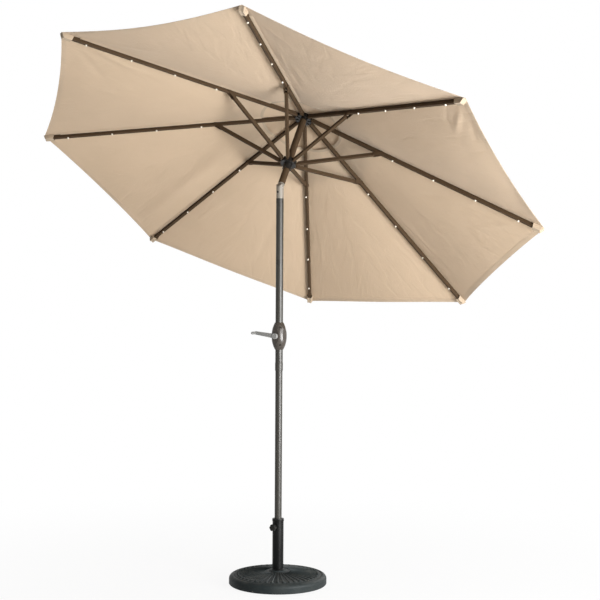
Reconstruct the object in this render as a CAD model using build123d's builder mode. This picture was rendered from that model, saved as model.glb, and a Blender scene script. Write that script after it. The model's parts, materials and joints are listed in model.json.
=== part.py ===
"""Tilting patio umbrella with a round base, as separate pieces.

Millimetres, +Z up. The origin is on the floor, at the centre of the base.
Pieces of the pole are drawn with +X towards the lean of the canopy and turned into place.
Pieces of the mast are drawn upright about the tilt pivot, and pieces of a rib about its hinge pin.
"""

from build123d import *
import math
import os

# ---------------------------------------------------------------- driving dimensions
# Stance
lean_azimuth = 34.0        # direction in which the canopy leans, from +Y towards +X
tilt_angle = 30.0          # last notch of the tilt joint
pivot_height = 1950.0      # tilt pivot above the floor
crown_height = 424.0       # rib hinge pins above the tilt pivot, along the mast
runner_drop = 276.0        # strut hinge pins below the rib hinge pins
rib_droop = 17.2           # slope of an open rib
rib_count = 8
fold_travel = 60.0         # what the runner can be let down while the canopy is tilted

# Clearances and general walls
running_clearance = 0.08   # radial, a shaft in its bearing
sliding_clearance = 0.3    # radial, a sleeve that slides
seat_gap = 0.3             # between faces that rest on each other in use
snug_gap = 0.05            # radial, a pin pressed or glued in its hole

# Base
base_radius = 240.0
base_rim_height = 28.0     # top of the upright side wall
base_shoulder_width = 19.0
base_top_height = 49.0     # flat ring inside the shoulder
base_dome_height = 66.0    # foot of the boss
base_boss_height = 72.0
base_boss_radius = 44.0
base_boss_slope = 4.0      # how much narrower the boss is at its top
base_edge_break = 4.0
groove_width = 11.0
groove_depth = 3.0
petal_count = 44
petal_radius = 10.0
petal_ring_radius = 196.0
ridge_height = 3.0
ridge_inner_radius = 62.0
ridge_inner_half_width = 2.0
ridge_outer_half_width = 9.0
foot_thickness = 5.0
foot_gap = 3.0             # underside of the disc above the floor
foot_radius = 14.0
foot_ring_radius = 200.0
foot_count = 6
bolt_recess_radius = 22.0
bolt_recess_top = 14.0
web_thickness = 8.0
bolt_radius = 5.0
bolt_clearance = 0.5       # radial, in the disc
bolt_length = 24.0
bolt_head_radius = 9.0
bolt_head_height = 6.2
washer_radius = 18.0
washer_thickness = 2.0

# Socket tube
tube_radius = 27.5
tube_wall = 2.0
tube_top = 319.0
tube_plate = 10.0
seat_ring_height = 12.0
tube_rim_radius = 29.0
tube_rim_height = 9.0
tube_foot_ring_height = 4.0
tube_foot_ring_width = 2.0
tube_rim_edge = 1.0        # bevel of the rim and of the collar on it
collar_flange_thickness = 3.7
collar_depth = 28.0

# Clamp
clamp_height = 283.0
clamp_screw_radius = 4.0
clamp_boss_radius = 10.0
clamp_boss_length = 7.0
clamp_pad_radius = 4.5
clamp_pad_thickness = 2.0
clamp_pad_edge = 0.5       # rounding of its far edge
knob_radius = 17.0
knob_length = 16.0
knob_standoff = 2.0
knob_lobes = 6
knob_lobe_radius = 6.5
knob_edge = 2.5

# Pole
lower_pole_radius = 17.5
upper_pole_radius = 18.5
pole_wall = 1.5
joint_height = 1050.0      # where the two poles meet
spigot_length = 100.0
swage_radius = 19.4
swage_length = 40.0
upper_pole_top = 1897.0

# Crank
crank_above_joint = 170.5
housing_height = 134.0
housing_radius = 37.0      # of the round form
housing_half_width = 33.0  # to the flats on its sides
housing_straight = 5.0     # half height of the straight middle
housing_neck = 20.5        # radius at the ends
housing_wall = 3.0
housing_parting = 0.2
housing_screw_offset = 22.5
housing_screw_height = 43.0
housing_screw_radius = 2.0
housing_screw_sink = 19.0  # seat of the heads behind the flats
housing_screw_head_radius = 3.8
housing_screw_head_height = 2.4
housing_screw_boss_radius = 4.6
housing_screw_tip_gap = 1.0
drum_core_radius = 9.0
drum_flange_radius = 12.5
drum_half_length = 10.0
drum_flange_thickness = 2.0
crank_shaft_radius = 7.0
axle_stub_radius = 4.0
crank_boss_radius = 14.0
crank_boss_length = 12.0
crank_arm_reach = 112.0
crank_arm_rise = 7.0       # degrees above level
crank_arm_thickness = 8.0
crank_arm_root_width = 22.0
crank_arm_end_width = 16.0
grip_radius = 7.0
grip_length = 30.0
grip_edge = 2.5
grip_pin_radius = 3.5
grip_cap_radius = 5.5
grip_cap_thickness = 2.0

# Tilt joint
socket_radius = 18.0
socket_plug_length = 52.0
cheek_gap = 16.0
cheek_round = 18.0
tongue_thickness = 15.4
tongue_radius = 13.0
tongue_clearance = 0.6
tilt_pin_radius = 4.0
tilt_pin_sink = 1.5        # its ends inside the cheeks
tilt_collar_start = 20.0   # above the pivot, along the mast
mast_start = 24.0
head_plug_length = 40.0
line_hole_radius = 4.0
button_radius = 4.5
button_drop = 22.0         # below the pivot
button_travel = 3.0
button_stand_out = 4.5
button_length = 12.5
button_edge = 1.0

# Mast, crown and runner
mast_radius = 17.0
mast_wall = 1.5
hinge_radius = 30.0        # circle of the hinge pins
crown_radius = 42.0
crown_bottom = 13.0
crown_top = 8.0
crown_roof = 1.5
hub_edge = 1.2             # rounding of the crown's top and the runner's foot
stud_radius = 6.0
stud_length = 16.0
runner_radius = 40.0
runner_hub_top = 15.0      # above the strut hinge pins
runner_floor = 2.5         # under each slot
runner_sleeve_radius = 22.0
runner_sleeve_top = 19.0
runner_sleeve_bottom = 38.0
slot_width = 9.0
slot_room = 0.5            # around the round end of a rib or strut
tongue_width = 8.0         # flattened end of a rib or strut
end_radius = 6.0
pin_radius = 1.75
pin_bite = 4.0             # length of a hinge pin in each wall of its slot
sheave_radius = 13.0
sheave_width = 5.0
sheave_offset = 7.0
sheave_drop = 45.0         # below the rib hinge pins
sheave_groove = 1.5
sheave_axle_radius = 2.0
sheave_side_gap = 1.0
sheave_slot_room = 1.0     # above and below the sheave
sheave_spacer_radius = 3.5

# Ribs and struts
rib_width = 15.0
rib_height = 20.0
rib_wall = 1.2
rib_tube_start = 18.0
rib_tube_end = 1287.0
rib_end_plug = 12.0
rib_corner = 2.5
rib_cap_length = 32.0
rib_cap_wall = 1.5
rib_cap_corner = 4.0
rib_cap_overlap = 17.0
strut_joint = 426.0        # along the rib, from its hinge pin
strut_width = 15.0
strut_height = 18.0
strut_wall = 1.0
strut_corner = 2.0
drain_radius = 1.5
fork_cheek = 2.5
fork_side_gap = 0.5
fork_depth = 36.0
fork_web = 6.0
rivet_radius = 2.5
rivet_head_radius = 4.5
rivet_head_thickness = 1.5
rivet_play = 1.0           # radial, the open pivot of each linkage

# Lights, on a wire inside each rib
lamp_radius = 4.5
lamp_count = 4
lamp_pitch = 232.5
last_lamp_inset = 92.0     # from the end of the rib's tube
lamp_drop = 2.5            # middle of the lamp's dome below the rib
light_wire_radius = 1.0
light_wire_gap = 1.0       # above the floor of the rib

# Canopy
cloth_thickness = 2.0
cloth_gap = 0.9            # between the cap of a rib and the cloth
corner_reach = 1320.0      # along the rib, from its hinge pin
hem_mid_radius = 1169.0    # at the middle of a gore
vent_radius = 200.0
cap_inner_radius = 62.0
cap_corner_radius = 450.0
cap_mid_radius = 392.0
cap_lift = 0.4             # between main cloth and vent cap
gore_gap_angle = 0.8       # room for the cloth of two ribs to close up as they fold

# Solar cap
solar_radius = 55.0
solar_bottom = 14.0        # above the rib hinge pins
solar_height = 27.0
solar_boss_radius = 14.0
solar_edge = 9.0
solar_wall = 2.5
panel_size = 64.0
panel_thickness = 2.2
switch_radius = 4.5
switch_length = 9.0
switch_stand_out = 3.0
switch_travel = 2.0
switch_height = 10.0       # above the underside of the housing
switch_boss_wall = 2.5
switch_edge = 0.8

# ---------------------------------------------------------------- derived sizes and places
tube_bore = tube_radius - tube_wall
tube_seat = bolt_recess_top + web_thickness
pole_foot = tube_seat + tube_plate + seat_gap
crank_height = joint_height + crank_above_joint
joint_bore = upper_pole_radius - pole_wall
spigot_radius = joint_bore - snug_gap * 2
lower_pole_bore = lower_pole_radius - pole_wall
mast_bore = mast_radius - mast_wall
droop = math.radians(rib_droop)
half_gore = 180.0 / rib_count
last_lamp = rib_tube_end - last_lamp_inset

joint_radius = hinge_radius + strut_joint * math.cos(droop)
joint_drop = strut_joint * math.sin(droop)
strut_rise = runner_drop - joint_drop
strut_length = math.hypot(joint_radius - hinge_radius, strut_rise)
strut_angle = math.degrees(math.atan2(strut_rise, joint_radius - hinge_radius))

lean = Location((0, 0, 0), (0, 0, 90 - lean_azimuth))
pivot = lean * Location((0, 0, pivot_height))
crank_place = lean * Location((0, 0, crank_height))
mast = pivot * Location((0, 0, 0), (0, tilt_angle, 0))
crown_place = mast * Location((0, 0, crown_height))
runner_place = mast * Location((0, 0, crown_height - runner_drop))
along_x = (0, 90, 0)
along_y = (90, 0, 0)

os.makedirs("parts", exist_ok=True)


def save(part, name, place=Location()):
    """Put a finished piece in its place, label it and write its file."""
    piece = part.moved(place)
    piece.label = name
    export_step(piece, f"parts/{name}.step")
    return piece


def cylinder_x(radius, start, end, height=0.0, mode=Mode.ADD):
    """A cylinder along X from start to end, in the open part block."""
    with Locations(((start + end) / 2, 0, height)):
        Cylinder(radius, abs(end - start), rotation=along_x, mode=mode)


# ---------------------------------------------------------------- base
dome_slope = (base_dome_height - base_top_height) / (
    base_radius - base_shoulder_width - groove_width - base_boss_radius
)
dome_outer_radius = base_radius - base_shoulder_width - groove_width
shoulder_inner = base_radius - base_shoulder_width
shoulder_rise = base_top_height - base_rim_height
shoulder_mid = (
    shoulder_inner + base_shoulder_width * math.cos(math.pi / 4),
    base_rim_height + shoulder_rise * math.sin(math.pi / 4),
)


def dome_height(radius):
    """Height of the dome's surface at a radius."""
    return base_top_height + (dome_outer_radius - radius) * dome_slope


with BuildPart() as ridge:
    for radius, half_width in (
        (ridge_inner_radius, ridge_inner_half_width),
        (petal_ring_radius, ridge_outer_half_width),
    ):
        with BuildSketch(Plane.YZ.offset(radius)):
            foot = dome_height(radius) - ridge_height
            with BuildLine():
                Polyline((-half_width, foot), (half_width, foot), (0, foot + 2 * ridge_height), close=True)
            make_face()
    loft()

with BuildPart() as base_disc:
    with BuildSketch(Plane.XZ):
        with BuildLine():
            start = Polyline(
                (bolt_radius + bolt_clearance, bolt_recess_top),
                (bolt_recess_radius, bolt_recess_top),
                (bolt_recess_radius, foot_gap),
                (base_radius - base_edge_break, foot_gap),
                (base_radius, foot_gap + base_edge_break),
                (base_radius, base_rim_height),
            )
            shoulder = ThreePointArc(start @ 1, shoulder_mid, (shoulder_inner, base_top_height))
            Polyline(
                shoulder @ 1,
                (shoulder_inner - groove_depth, base_top_height - groove_depth),
                (dome_outer_radius + groove_depth, base_top_height - groove_depth),
                (dome_outer_radius, base_top_height),
                (base_boss_radius, base_dome_height),
                (base_boss_radius - base_boss_slope, base_boss_height),
                (tube_radius + snug_gap, base_boss_height),
                (tube_radius + snug_gap, tube_seat),
                (bolt_radius + bolt_clearance, tube_seat),
                start @ 0,
            )
        make_face()
    revolve(axis=Axis.Z)
    with PolarLocations(0, petal_count):
        add(ridge.part)
    with PolarLocations(petal_ring_radius, petal_count):
        with Locations((0, 0, dome_height(petal_ring_radius) - petal_radius / 2)):
            Sphere(petal_radius)
    with Locations((0, 0, foot_gap)):
        with PolarLocations(foot_ring_radius, foot_count):
            Cylinder(
                foot_radius + snug_gap,
                foot_thickness - foot_gap,
                align=(Align.CENTER, Align.CENTER, Align.MIN),
                mode=Mode.SUBTRACT,
            )
save(base_disc.part, "base_disc")

with BuildPart() as base_feet:
    with PolarLocations(foot_ring_radius, foot_count):
        Cylinder(foot_radius, foot_thickness, align=(Align.CENTER, Align.CENTER, Align.MIN))
    Cylinder(
        bolt_recess_radius - snug_gap,
        foot_gap,
        align=(Align.CENTER, Align.CENTER, Align.MIN),
    )
save(base_feet.part, "base_feet")

bolt_top = bolt_recess_top - washer_thickness + bolt_length
with BuildPart() as base_fasteners:
    with BuildSketch(Plane.XY.offset(bolt_recess_top - washer_thickness)):
        Circle(washer_radius)
        Circle(bolt_radius + snug_gap, mode=Mode.SUBTRACT)
    extrude(amount=washer_thickness)
    with BuildSketch(Plane.XY.offset(bolt_recess_top - washer_thickness)):
        RegularPolygon(bolt_head_radius, 6)
    extrude(amount=-bolt_head_height)
    with BuildSketch(Plane.XY.offset(bolt_recess_top - washer_thickness)):
        Circle(bolt_radius)
    extrude(amount=bolt_length)
save(base_fasteners.part, "base_fasteners")

with BuildPart() as base_tube:
    with BuildSketch(Plane.XZ):
        with BuildLine():
            Polyline(
                (bolt_radius + snug_gap, tube_seat),
                (tube_radius, tube_seat),
                (tube_radius, base_boss_height),
                (tube_radius + tube_foot_ring_width, base_boss_height),
                (tube_radius + tube_foot_ring_width, base_boss_height + tube_foot_ring_height / 2),
                (tube_radius, base_boss_height + tube_foot_ring_height),
                (tube_radius, tube_top - tube_rim_height),
                (tube_rim_radius, tube_top - tube_rim_height + tube_rim_radius - tube_radius),
                (tube_rim_radius, tube_top - tube_rim_edge),
                (tube_rim_radius - tube_rim_edge, tube_top),
                (tube_bore, tube_top),
                (tube_bore, tube_seat + tube_plate + seat_ring_height),
                (lower_pole_radius + sliding_clearance, tube_seat + tube_plate + seat_ring_height),
                (lower_pole_radius + sliding_clearance, tube_seat + tube_plate),
                (bolt_radius + snug_gap, tube_seat + tube_plate),
                close=True,
            )
        make_face()
    revolve(axis=Axis.Z)
    cylinder_x(
        clamp_boss_radius,
        -tube_bore + clamp_screw_radius,
        -tube_radius - clamp_boss_length,
        clamp_height,
    )
    with Locations((0, 0, clamp_height)):
        Cylinder(tube_bore, 3 * clamp_boss_radius, mode=Mode.SUBTRACT)
    cylinder_x(
        clamp_screw_radius + running_clearance,
        -tube_bore + tube_wall,
        -tube_radius - 2 * clamp_boss_length,
        clamp_height,
        Mode.SUBTRACT,
    )
save(base_tube.part, "base_tube", lean)

with BuildPart() as pole_collar:
    with BuildSketch(Plane.XZ):
        with BuildLine():
            Polyline(
                (lower_pole_radius + running_clearance, tube_top - collar_depth),
                (tube_bore - running_clearance, tube_top - collar_depth),
                (tube_bore - running_clearance, tube_top + seat_gap),
                (tube_rim_radius, tube_top + seat_gap),
                (tube_rim_radius - tube_rim_edge, tube_top + seat_gap + collar_flange_thickness),
                (lower_pole_radius + running_clearance, tube_top + seat_gap + collar_flange_thickness),
                close=True,
            )
        make_face()
    revolve(axis=Axis.Z)
save(pole_collar.part, "pole_collar")

# ---------------------------------------------------------------- clamp, on the side away from the lean
pad_face = -lower_pole_radius - seat_gap
pad_back = pad_face - clamp_pad_thickness
knob_start = -tube_radius - clamp_boss_length - knob_standoff

with BuildPart() as clamp_pad:
    cylinder_x(clamp_pad_radius, pad_face, pad_back, clamp_height)
    fillet(clamp_pad.edges().group_by(Axis.X)[-1], clamp_pad_edge)
save(clamp_pad.part, "clamp_pad", lean)

with BuildPart() as clamp_knob:
    cylinder_x(clamp_screw_radius, pad_back - seat_gap, knob_start - knob_length / 2, clamp_height)
    cylinder_x(knob_radius, knob_start, knob_start - knob_length, clamp_height)
    fillet(clamp_knob.edges().group_by(Axis.X)[0], knob_edge)
    with Locations((knob_start - knob_length / 2, 0, clamp_height)):
        with Locations(Location((0, 0, 0), along_x)):
            with PolarLocations(knob_radius + knob_lobe_radius / 2, knob_lobes):
                Cylinder(knob_lobe_radius, 2 * knob_length, mode=Mode.SUBTRACT)
save(clamp_knob.part, "clamp_knob", lean)

# ---------------------------------------------------------------- poles
with BuildPart() as lower_pole:
    with BuildSketch(Plane.XZ):
        with BuildLine():
            Polyline(
                (lower_pole_bore, pole_foot),
                (lower_pole_radius, pole_foot),
                (lower_pole_radius, joint_height - seat_gap),
                (spigot_radius, joint_height - seat_gap),
                (spigot_radius, joint_height + spigot_length),
                (spigot_radius - pole_wall, joint_height + spigot_length),
                (spigot_radius - pole_wall, joint_height - 2 * seat_gap),
                (lower_pole_bore, joint_height - 10),
                close=True,
            )
        make_face()
    revolve(axis=Axis.Z)
save(lower_pole.part, "lower_pole")

with BuildPart() as upper_pole:
    with BuildSketch(Plane.XZ):
        with BuildLine():
            Polyline(
                (joint_bore, joint_height),
                (swage_radius - 1, joint_height),
                (swage_radius, joint_height + 1),
                (swage_radius, joint_height + swage_length - 2),
                (upper_pole_radius, joint_height + swage_length),
                (upper_pole_radius, upper_pole_top),
                (joint_bore, upper_pole_top),
                close=True,
            )
        make_face()
    revolve(axis=Axis.Z)
    cylinder_x(
        drum_flange_radius + sliding_clearance,
        0,
        -2 * upper_pole_radius,
        crank_height,
        Mode.SUBTRACT,
    )
    cylinder_x(axle_stub_radius + running_clearance, 0, 2 * upper_pole_radius, crank_height, Mode.SUBTRACT)
save(upper_pole.part, "upper_pole", lean)

# ---------------------------------------------------------------- crank, drawn about its own height
def housing_form(wall):
    """The housing's closed form, shrunk by a wall, about the middle of its height."""
    half_height = housing_height / 2 - wall
    radius = housing_radius - wall
    neck = housing_neck - wall
    flats = 2 * (housing_half_width - wall)
    with BuildPart() as form:
        with BuildSketch(Plane.XZ):
            with BuildLine():
                side = Line((radius, 0), (radius, housing_straight))
                shoulder = TangentArc(side @ 1, (neck, half_height), tangent=(0, 1))
                Polyline(shoulder @ 1, (0, half_height), (0, 0), side @ 0)
            make_face()
            mirror(about=Plane.XZ)
        revolve(axis=Axis.Z)
        Box(flats, flats, housing_height, mode=Mode.INTERSECT)
    return form.part


def housing_screw_spots():
    """Where the four screws run, as points in the XZ plane."""
    return [
        (side * housing_screw_offset, 0, level * housing_screw_height)
        for side in (-1, 1)
        for level in (-1, 1)
    ]


screw_seat = -housing_half_width + housing_screw_sink
with BuildPart() as housing_skin:
    add(housing_form(0))
    add(housing_form(housing_wall), mode=Mode.SUBTRACT)

with BuildPart() as housing_shell:
    with Locations(*housing_screw_spots()):
        Cylinder(housing_screw_boss_radius, 2 * housing_half_width, rotation=along_y)
    add(housing_form(housing_wall / 2), mode=Mode.INTERSECT)
    add(housing_skin.part)
    Cylinder(upper_pole_radius + snug_gap, 2 * housing_height, mode=Mode.SUBTRACT)
    with Locations(*housing_screw_spots()):
        Cylinder(
            housing_screw_radius + snug_gap, -2 * screw_seat + snug_gap, rotation=along_y, mode=Mode.SUBTRACT
        )
    with Locations(*[(x, screw_seat, z) for x, _, z in housing_screw_spots()]):
        Cylinder(
            housing_screw_head_radius + snug_gap,
            housing_half_width,
            rotation=along_y,
            align=(Align.CENTER, Align.CENTER, Align.MIN),
            mode=Mode.SUBTRACT,
        )
    cylinder_x(crank_shaft_radius + running_clearance, 0, -2 * housing_half_width, 0, Mode.SUBTRACT)

for name, side in (("crank_housing_left", 1), ("crank_housing_right", -1)):
    with BuildPart() as half:
        add(housing_shell.part)
        with Locations((0, side * (housing_half_width + housing_parting / 2), 0)):
            Box(4 * housing_half_width, 2 * housing_half_width, 2 * housing_height, mode=Mode.INTERSECT)
    save(half.part, name, crank_place)

with BuildPart() as housing_screws:
    for x, _, z in housing_screw_spots():
        with Locations((x, screw_seat, z)):
            Cylinder(
                housing_screw_radius,
                -2 * screw_seat - housing_screw_tip_gap,
                rotation=along_y,
                align=(Align.CENTER, Align.CENTER, Align.MAX),
            )
            Cylinder(
                housing_screw_head_radius,
                housing_screw_head_height,
                rotation=along_y,
                align=(Align.CENTER, Align.CENTER, Align.MIN),
            )
save(housing_screws.part, "housing_screws", crank_place)

boss_start = -housing_half_width - seat_gap
boss_end = boss_start - crank_boss_length
with BuildPart() as crank_drum:
    cylinder_x(drum_core_radius, -drum_half_length, drum_half_length)
    for end in (-1, 1):
        inner = end * (drum_half_length - drum_flange_thickness)
        cylinder_x(drum_flange_radius, inner, end * drum_half_length)
    cylinder_x(axle_stub_radius, drum_half_length, upper_pole_radius + 1)
    cylinder_x(crank_shaft_radius, -drum_half_length, boss_start + seat_gap / 2)
save(crank_drum.part, "crank_drum", crank_place)

arm_back = boss_start - 2
grip_start = arm_back - crank_arm_thickness - seat_gap
grip_end = grip_start - grip_length
with BuildPart() as crank_handle:
    cylinder_x(crank_boss_radius, boss_start, boss_end)
    with BuildSketch(Plane.YZ.offset(arm_back)):
        with BuildLine():
            root = crank_arm_root_width / 2
            tip = crank_arm_end_width / 2
            Polyline((0, -root), (crank_arm_reach, -tip), (crank_arm_reach, tip), (0, root), close=True)
        make_face()
        with Locations((crank_arm_reach, 0)):
            Circle(tip)
    extrude(amount=-crank_arm_thickness)
    with Locations((0, crank_arm_reach, 0)):
        cylinder_start = arm_back - crank_arm_thickness / 2
        with Locations(((cylinder_start + grip_end) / 2, 0, 0)):
            Cylinder(grip_pin_radius, cylinder_start - grip_end + 2 * seat_gap, rotation=along_x)
        with Locations((grip_end - seat_gap - grip_cap_thickness / 2, 0, 0)):
            Cylinder(grip_cap_radius, grip_cap_thickness, rotation=along_x)
arm_turn = Location((0, 0, 0), (crank_arm_rise, 0, 0))
save(crank_handle.part, "crank_handle", crank_place * arm_turn)

with BuildPart() as crank_grip:
    with Locations(((grip_start + grip_end) / 2, crank_arm_reach, 0)):
        Cylinder(grip_radius, grip_length, rotation=along_x)
        fillet(crank_grip.edges().filter_by(GeomType.CIRCLE), grip_edge)
        Cylinder(grip_pin_radius + running_clearance, 2 * grip_length, rotation=along_x, mode=Mode.SUBTRACT)
save(crank_grip.part, "crank_grip", crank_place * arm_turn)

# ---------------------------------------------------------------- tilt joint, drawn about the pivot
slot_reach = 3 * socket_radius
cut_radius = tongue_radius + tongue_clearance
tilt = math.radians(tilt_angle)
stop_corner = (cut_radius * math.cos(tilt), -cut_radius * math.sin(tilt))
stop_end = (
    stop_corner[0] + slot_reach * math.sin(tilt),
    stop_corner[1] + slot_reach * math.cos(tilt),
)
shoulder_level = upper_pole_top - pivot_height

with BuildPart() as tilt_socket:
    with BuildSketch(Plane.XY.offset(shoulder_level)):
        Circle(joint_bore - snug_gap)
    extrude(amount=-socket_plug_length)
    with BuildSketch(Plane.XY.offset(shoulder_level)):
        Circle(socket_radius)
    extrude(amount=cheek_round - shoulder_level)
    with BuildSketch(Plane.XZ):
        Circle(cheek_round)
        with Locations((0, -slot_reach)):
            Rectangle(2 * slot_reach, 2 * slot_reach)
    extrude(amount=slot_reach, both=True, mode=Mode.INTERSECT)
    with BuildSketch(Plane.XZ):
        Circle(cut_radius)
        with BuildLine():
            Polyline(
                (0, 0),
                (-cut_radius, 0),
                (-cut_radius, slot_reach),
                stop_end,
                stop_corner,
                close=True,
            )
        make_face()
    extrude(amount=cheek_gap / 2, both=True, mode=Mode.SUBTRACT)
    Cylinder(
        line_hole_radius,
        2 * socket_plug_length - 2 * shoulder_level,
        mode=Mode.SUBTRACT,
    )
    Cylinder(tilt_pin_radius + snug_gap, 4 * socket_radius, rotation=along_y, mode=Mode.SUBTRACT)
    cylinder_x(
        button_radius + running_clearance,
        -socket_radius + button_length - button_stand_out + button_travel + seat_gap,
        -2 * socket_radius,
        -button_drop,
        Mode.SUBTRACT,
    )
save(tilt_socket.part, "tilt_socket", pivot)

with BuildPart() as tilt_pin:
    Cylinder(tilt_pin_radius, 2 * (socket_radius - tilt_pin_sink), rotation=along_y)
save(tilt_pin.part, "tilt_pin", pivot)

with BuildPart() as tilt_button:
    cylinder_x(
        button_radius,
        -socket_radius - button_stand_out + button_length,
        -socket_radius - button_stand_out,
        -button_drop,
    )
    fillet(tilt_button.edges().group_by(Axis.X)[0], button_edge)
save(tilt_button.part, "tilt_button", pivot)

with BuildPart() as tilt_head:
    with BuildSketch(Plane.XZ):
        Circle(tongue_radius)
        with Locations((0, tilt_collar_start / 2)):
            Rectangle(2 * tongue_radius, tilt_collar_start)
    extrude(amount=tongue_thickness / 2, both=True)
    with BuildSketch(Plane.XY.offset(tilt_collar_start)):
        Circle(mast_radius)
    extrude(amount=mast_start - tilt_collar_start - snug_gap)
    with BuildSketch(Plane.XY.offset(tilt_collar_start)):
        Circle(mast_bore - snug_gap)
    extrude(amount=mast_start - tilt_collar_start + head_plug_length)
    Cylinder(tilt_pin_radius + running_clearance, 4 * tongue_radius, rotation=along_y, mode=Mode.SUBTRACT)
    with BuildSketch(Plane.XY.offset(tilt_pin_radius * 2)):
        Circle(line_hole_radius)
    extrude(amount=2 * head_plug_length, mode=Mode.SUBTRACT)
save(tilt_head.part, "tilt_head", mast)

# ---------------------------------------------------------------- mast and crown, about the rib hinge pins
slot_roof = crown_top - crown_roof
tube_end = slot_roof - seat_gap
sheave_room = sheave_width / 2 + sheave_side_gap

with BuildPart() as mast_tube:
    with BuildSketch(Plane.XY.offset(mast_start - crown_height)):
        Circle(mast_radius)
        Circle(mast_bore, mode=Mode.SUBTRACT)
    extrude(amount=crown_height - mast_start + tube_end)
    with Locations((sheave_offset + sheave_radius, 0, -sheave_drop)):
        Box(2 * sheave_radius, 2 * sheave_room, 2 * (sheave_radius + sheave_slot_room), mode=Mode.SUBTRACT)
    with Locations((sheave_offset, 0, -sheave_drop)):
        Cylinder(
            sheave_axle_radius + snug_gap, 4 * mast_radius, rotation=along_y, mode=Mode.SUBTRACT
        )
save(mast_tube.part, "mast_tube", crown_place)

with BuildPart() as sheave:
    with BuildSketch(Plane.XZ):
        with BuildLine():
            Polyline(
                (sheave_axle_radius + running_clearance, -sheave_width / 2),
                (sheave_radius, -sheave_width / 2),
                (sheave_radius - sheave_groove, 0),
                (sheave_radius, sheave_width / 2),
                (sheave_axle_radius + running_clearance, sheave_width / 2),
                close=True,
            )
        make_face()
    revolve(axis=Axis.Z)
sheave_place = crown_place * Location((sheave_offset, 0, -sheave_drop), along_y)
save(sheave.part, "sheave", sheave_place)


def open_slots(floor, ceiling, outer_radius):
    """Cut the hinge slots and the holes of their pins, in the open part block."""
    inner_radius = hinge_radius - end_radius - slot_room
    slot_length = outer_radius + 1 - inner_radius
    with PolarLocations(0, rib_count, start_angle=half_gore):
        with Locations((inner_radius + slot_length / 2, 0, (floor + ceiling) / 2)):
            Box(slot_length, slot_width, ceiling - floor, mode=Mode.SUBTRACT)
        with Locations((hinge_radius, 0, 0)):
            Cylinder(pin_radius + snug_gap, pin_length + 2 * snug_gap, rotation=along_y, mode=Mode.SUBTRACT)


def hinge_pins():
    """Add the ring of hinge pins, in the open part block."""
    with PolarLocations(0, rib_count, start_angle=half_gore):
        with Locations((hinge_radius, 0, 0)):
            Cylinder(pin_radius, pin_length, rotation=along_y)


pin_length = slot_width + 2 * pin_bite
axle_half_length = math.sqrt(mast_radius**2 - sheave_offset**2) - snug_gap
spacer_start = sheave_width / 2 + sheave_side_gap / 2
spacer_end = math.sqrt(mast_bore**2 - (sheave_offset + sheave_spacer_radius) ** 2) - snug_gap

with BuildPart() as crown:
    with BuildSketch(Plane.XY.offset(-crown_bottom)):
        Circle(crown_radius)
    extrude(amount=crown_bottom + crown_top)
    fillet(crown.edges().group_by(Axis.Z)[-1], hub_edge)
    with BuildSketch(Plane.XY.offset(-crown_bottom)):
        Circle(mast_radius + snug_gap)
    extrude(amount=crown_bottom + slot_roof, mode=Mode.SUBTRACT)
    open_slots(-crown_bottom - 1, slot_roof, crown_radius)
    with BuildSketch(Plane.XY.offset(crown_top)):
        Circle(stud_radius)
    extrude(amount=stud_length)
save(crown.part, "crown", crown_place)

with BuildPart() as crown_pins:
    hinge_pins()
    with Locations((sheave_offset, 0, -sheave_drop)):
        Cylinder(sheave_axle_radius, 2 * axle_half_length, rotation=along_y)
        for side in (-1, 1):
            with Locations((0, side * (spacer_start + spacer_end) / 2, 0)):
                Cylinder(sheave_spacer_radius, spacer_end - spacer_start, rotation=along_y)
save(crown_pins.part, "crown_pins", crown_place)

slot_floor = -end_radius - slot_room
with BuildPart() as runner:
    with BuildSketch(Plane.XY.offset(slot_floor - runner_floor)):
        Circle(runner_radius)
    extrude(amount=runner_hub_top + runner_floor - slot_floor)
    fillet(runner.edges().group_by(Axis.Z)[0], hub_edge)
    with BuildSketch(Plane.XY.offset(-runner_sleeve_bottom)):
        Circle(runner_sleeve_radius)
    extrude(amount=runner_sleeve_bottom + runner_sleeve_top)
    with BuildSketch(Plane.XY.offset(-runner_sleeve_bottom)):
        Circle(mast_radius + sliding_clearance)
    extrude(amount=2 * runner_sleeve_bottom, mode=Mode.SUBTRACT)
    open_slots(slot_floor, runner_sleeve_top + 1, runner_radius)
save(runner.part, "runner", runner_place)

with BuildPart() as runner_pins:
    hinge_pins()
save(runner_pins.part, "runner_pins", runner_place)

# ---------------------------------------------------------------- ribs, struts, lights and cloth
with BuildPart() as flat_end:
    with BuildSketch(Plane.XZ):
        Circle(end_radius)
        with Locations((rib_tube_start / 2, 0)):
            Rectangle(rib_tube_start, 2 * end_radius)
        Circle(pin_radius + running_clearance, mode=Mode.SUBTRACT)
    extrude(amount=tongue_width / 2, both=True)


fork_inner = rib_width / 2 + fork_side_gap
fork_outer = fork_inner + fork_cheek
rivet_grip = fork_outer + fork_side_gap
cap_start = rib_tube_end + snug_gap - rib_cap_overlap
lamp_level = -rib_height / 2 - lamp_drop
wire_level = -rib_height / 2 + rib_wall + light_wire_gap + light_wire_radius
wire_start = rib_tube_start + rib_end_plug + seat_gap
lamp_spots = [(last_lamp - lamp_pitch * step, 0, lamp_level) for step in range(lamp_count)]

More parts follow.
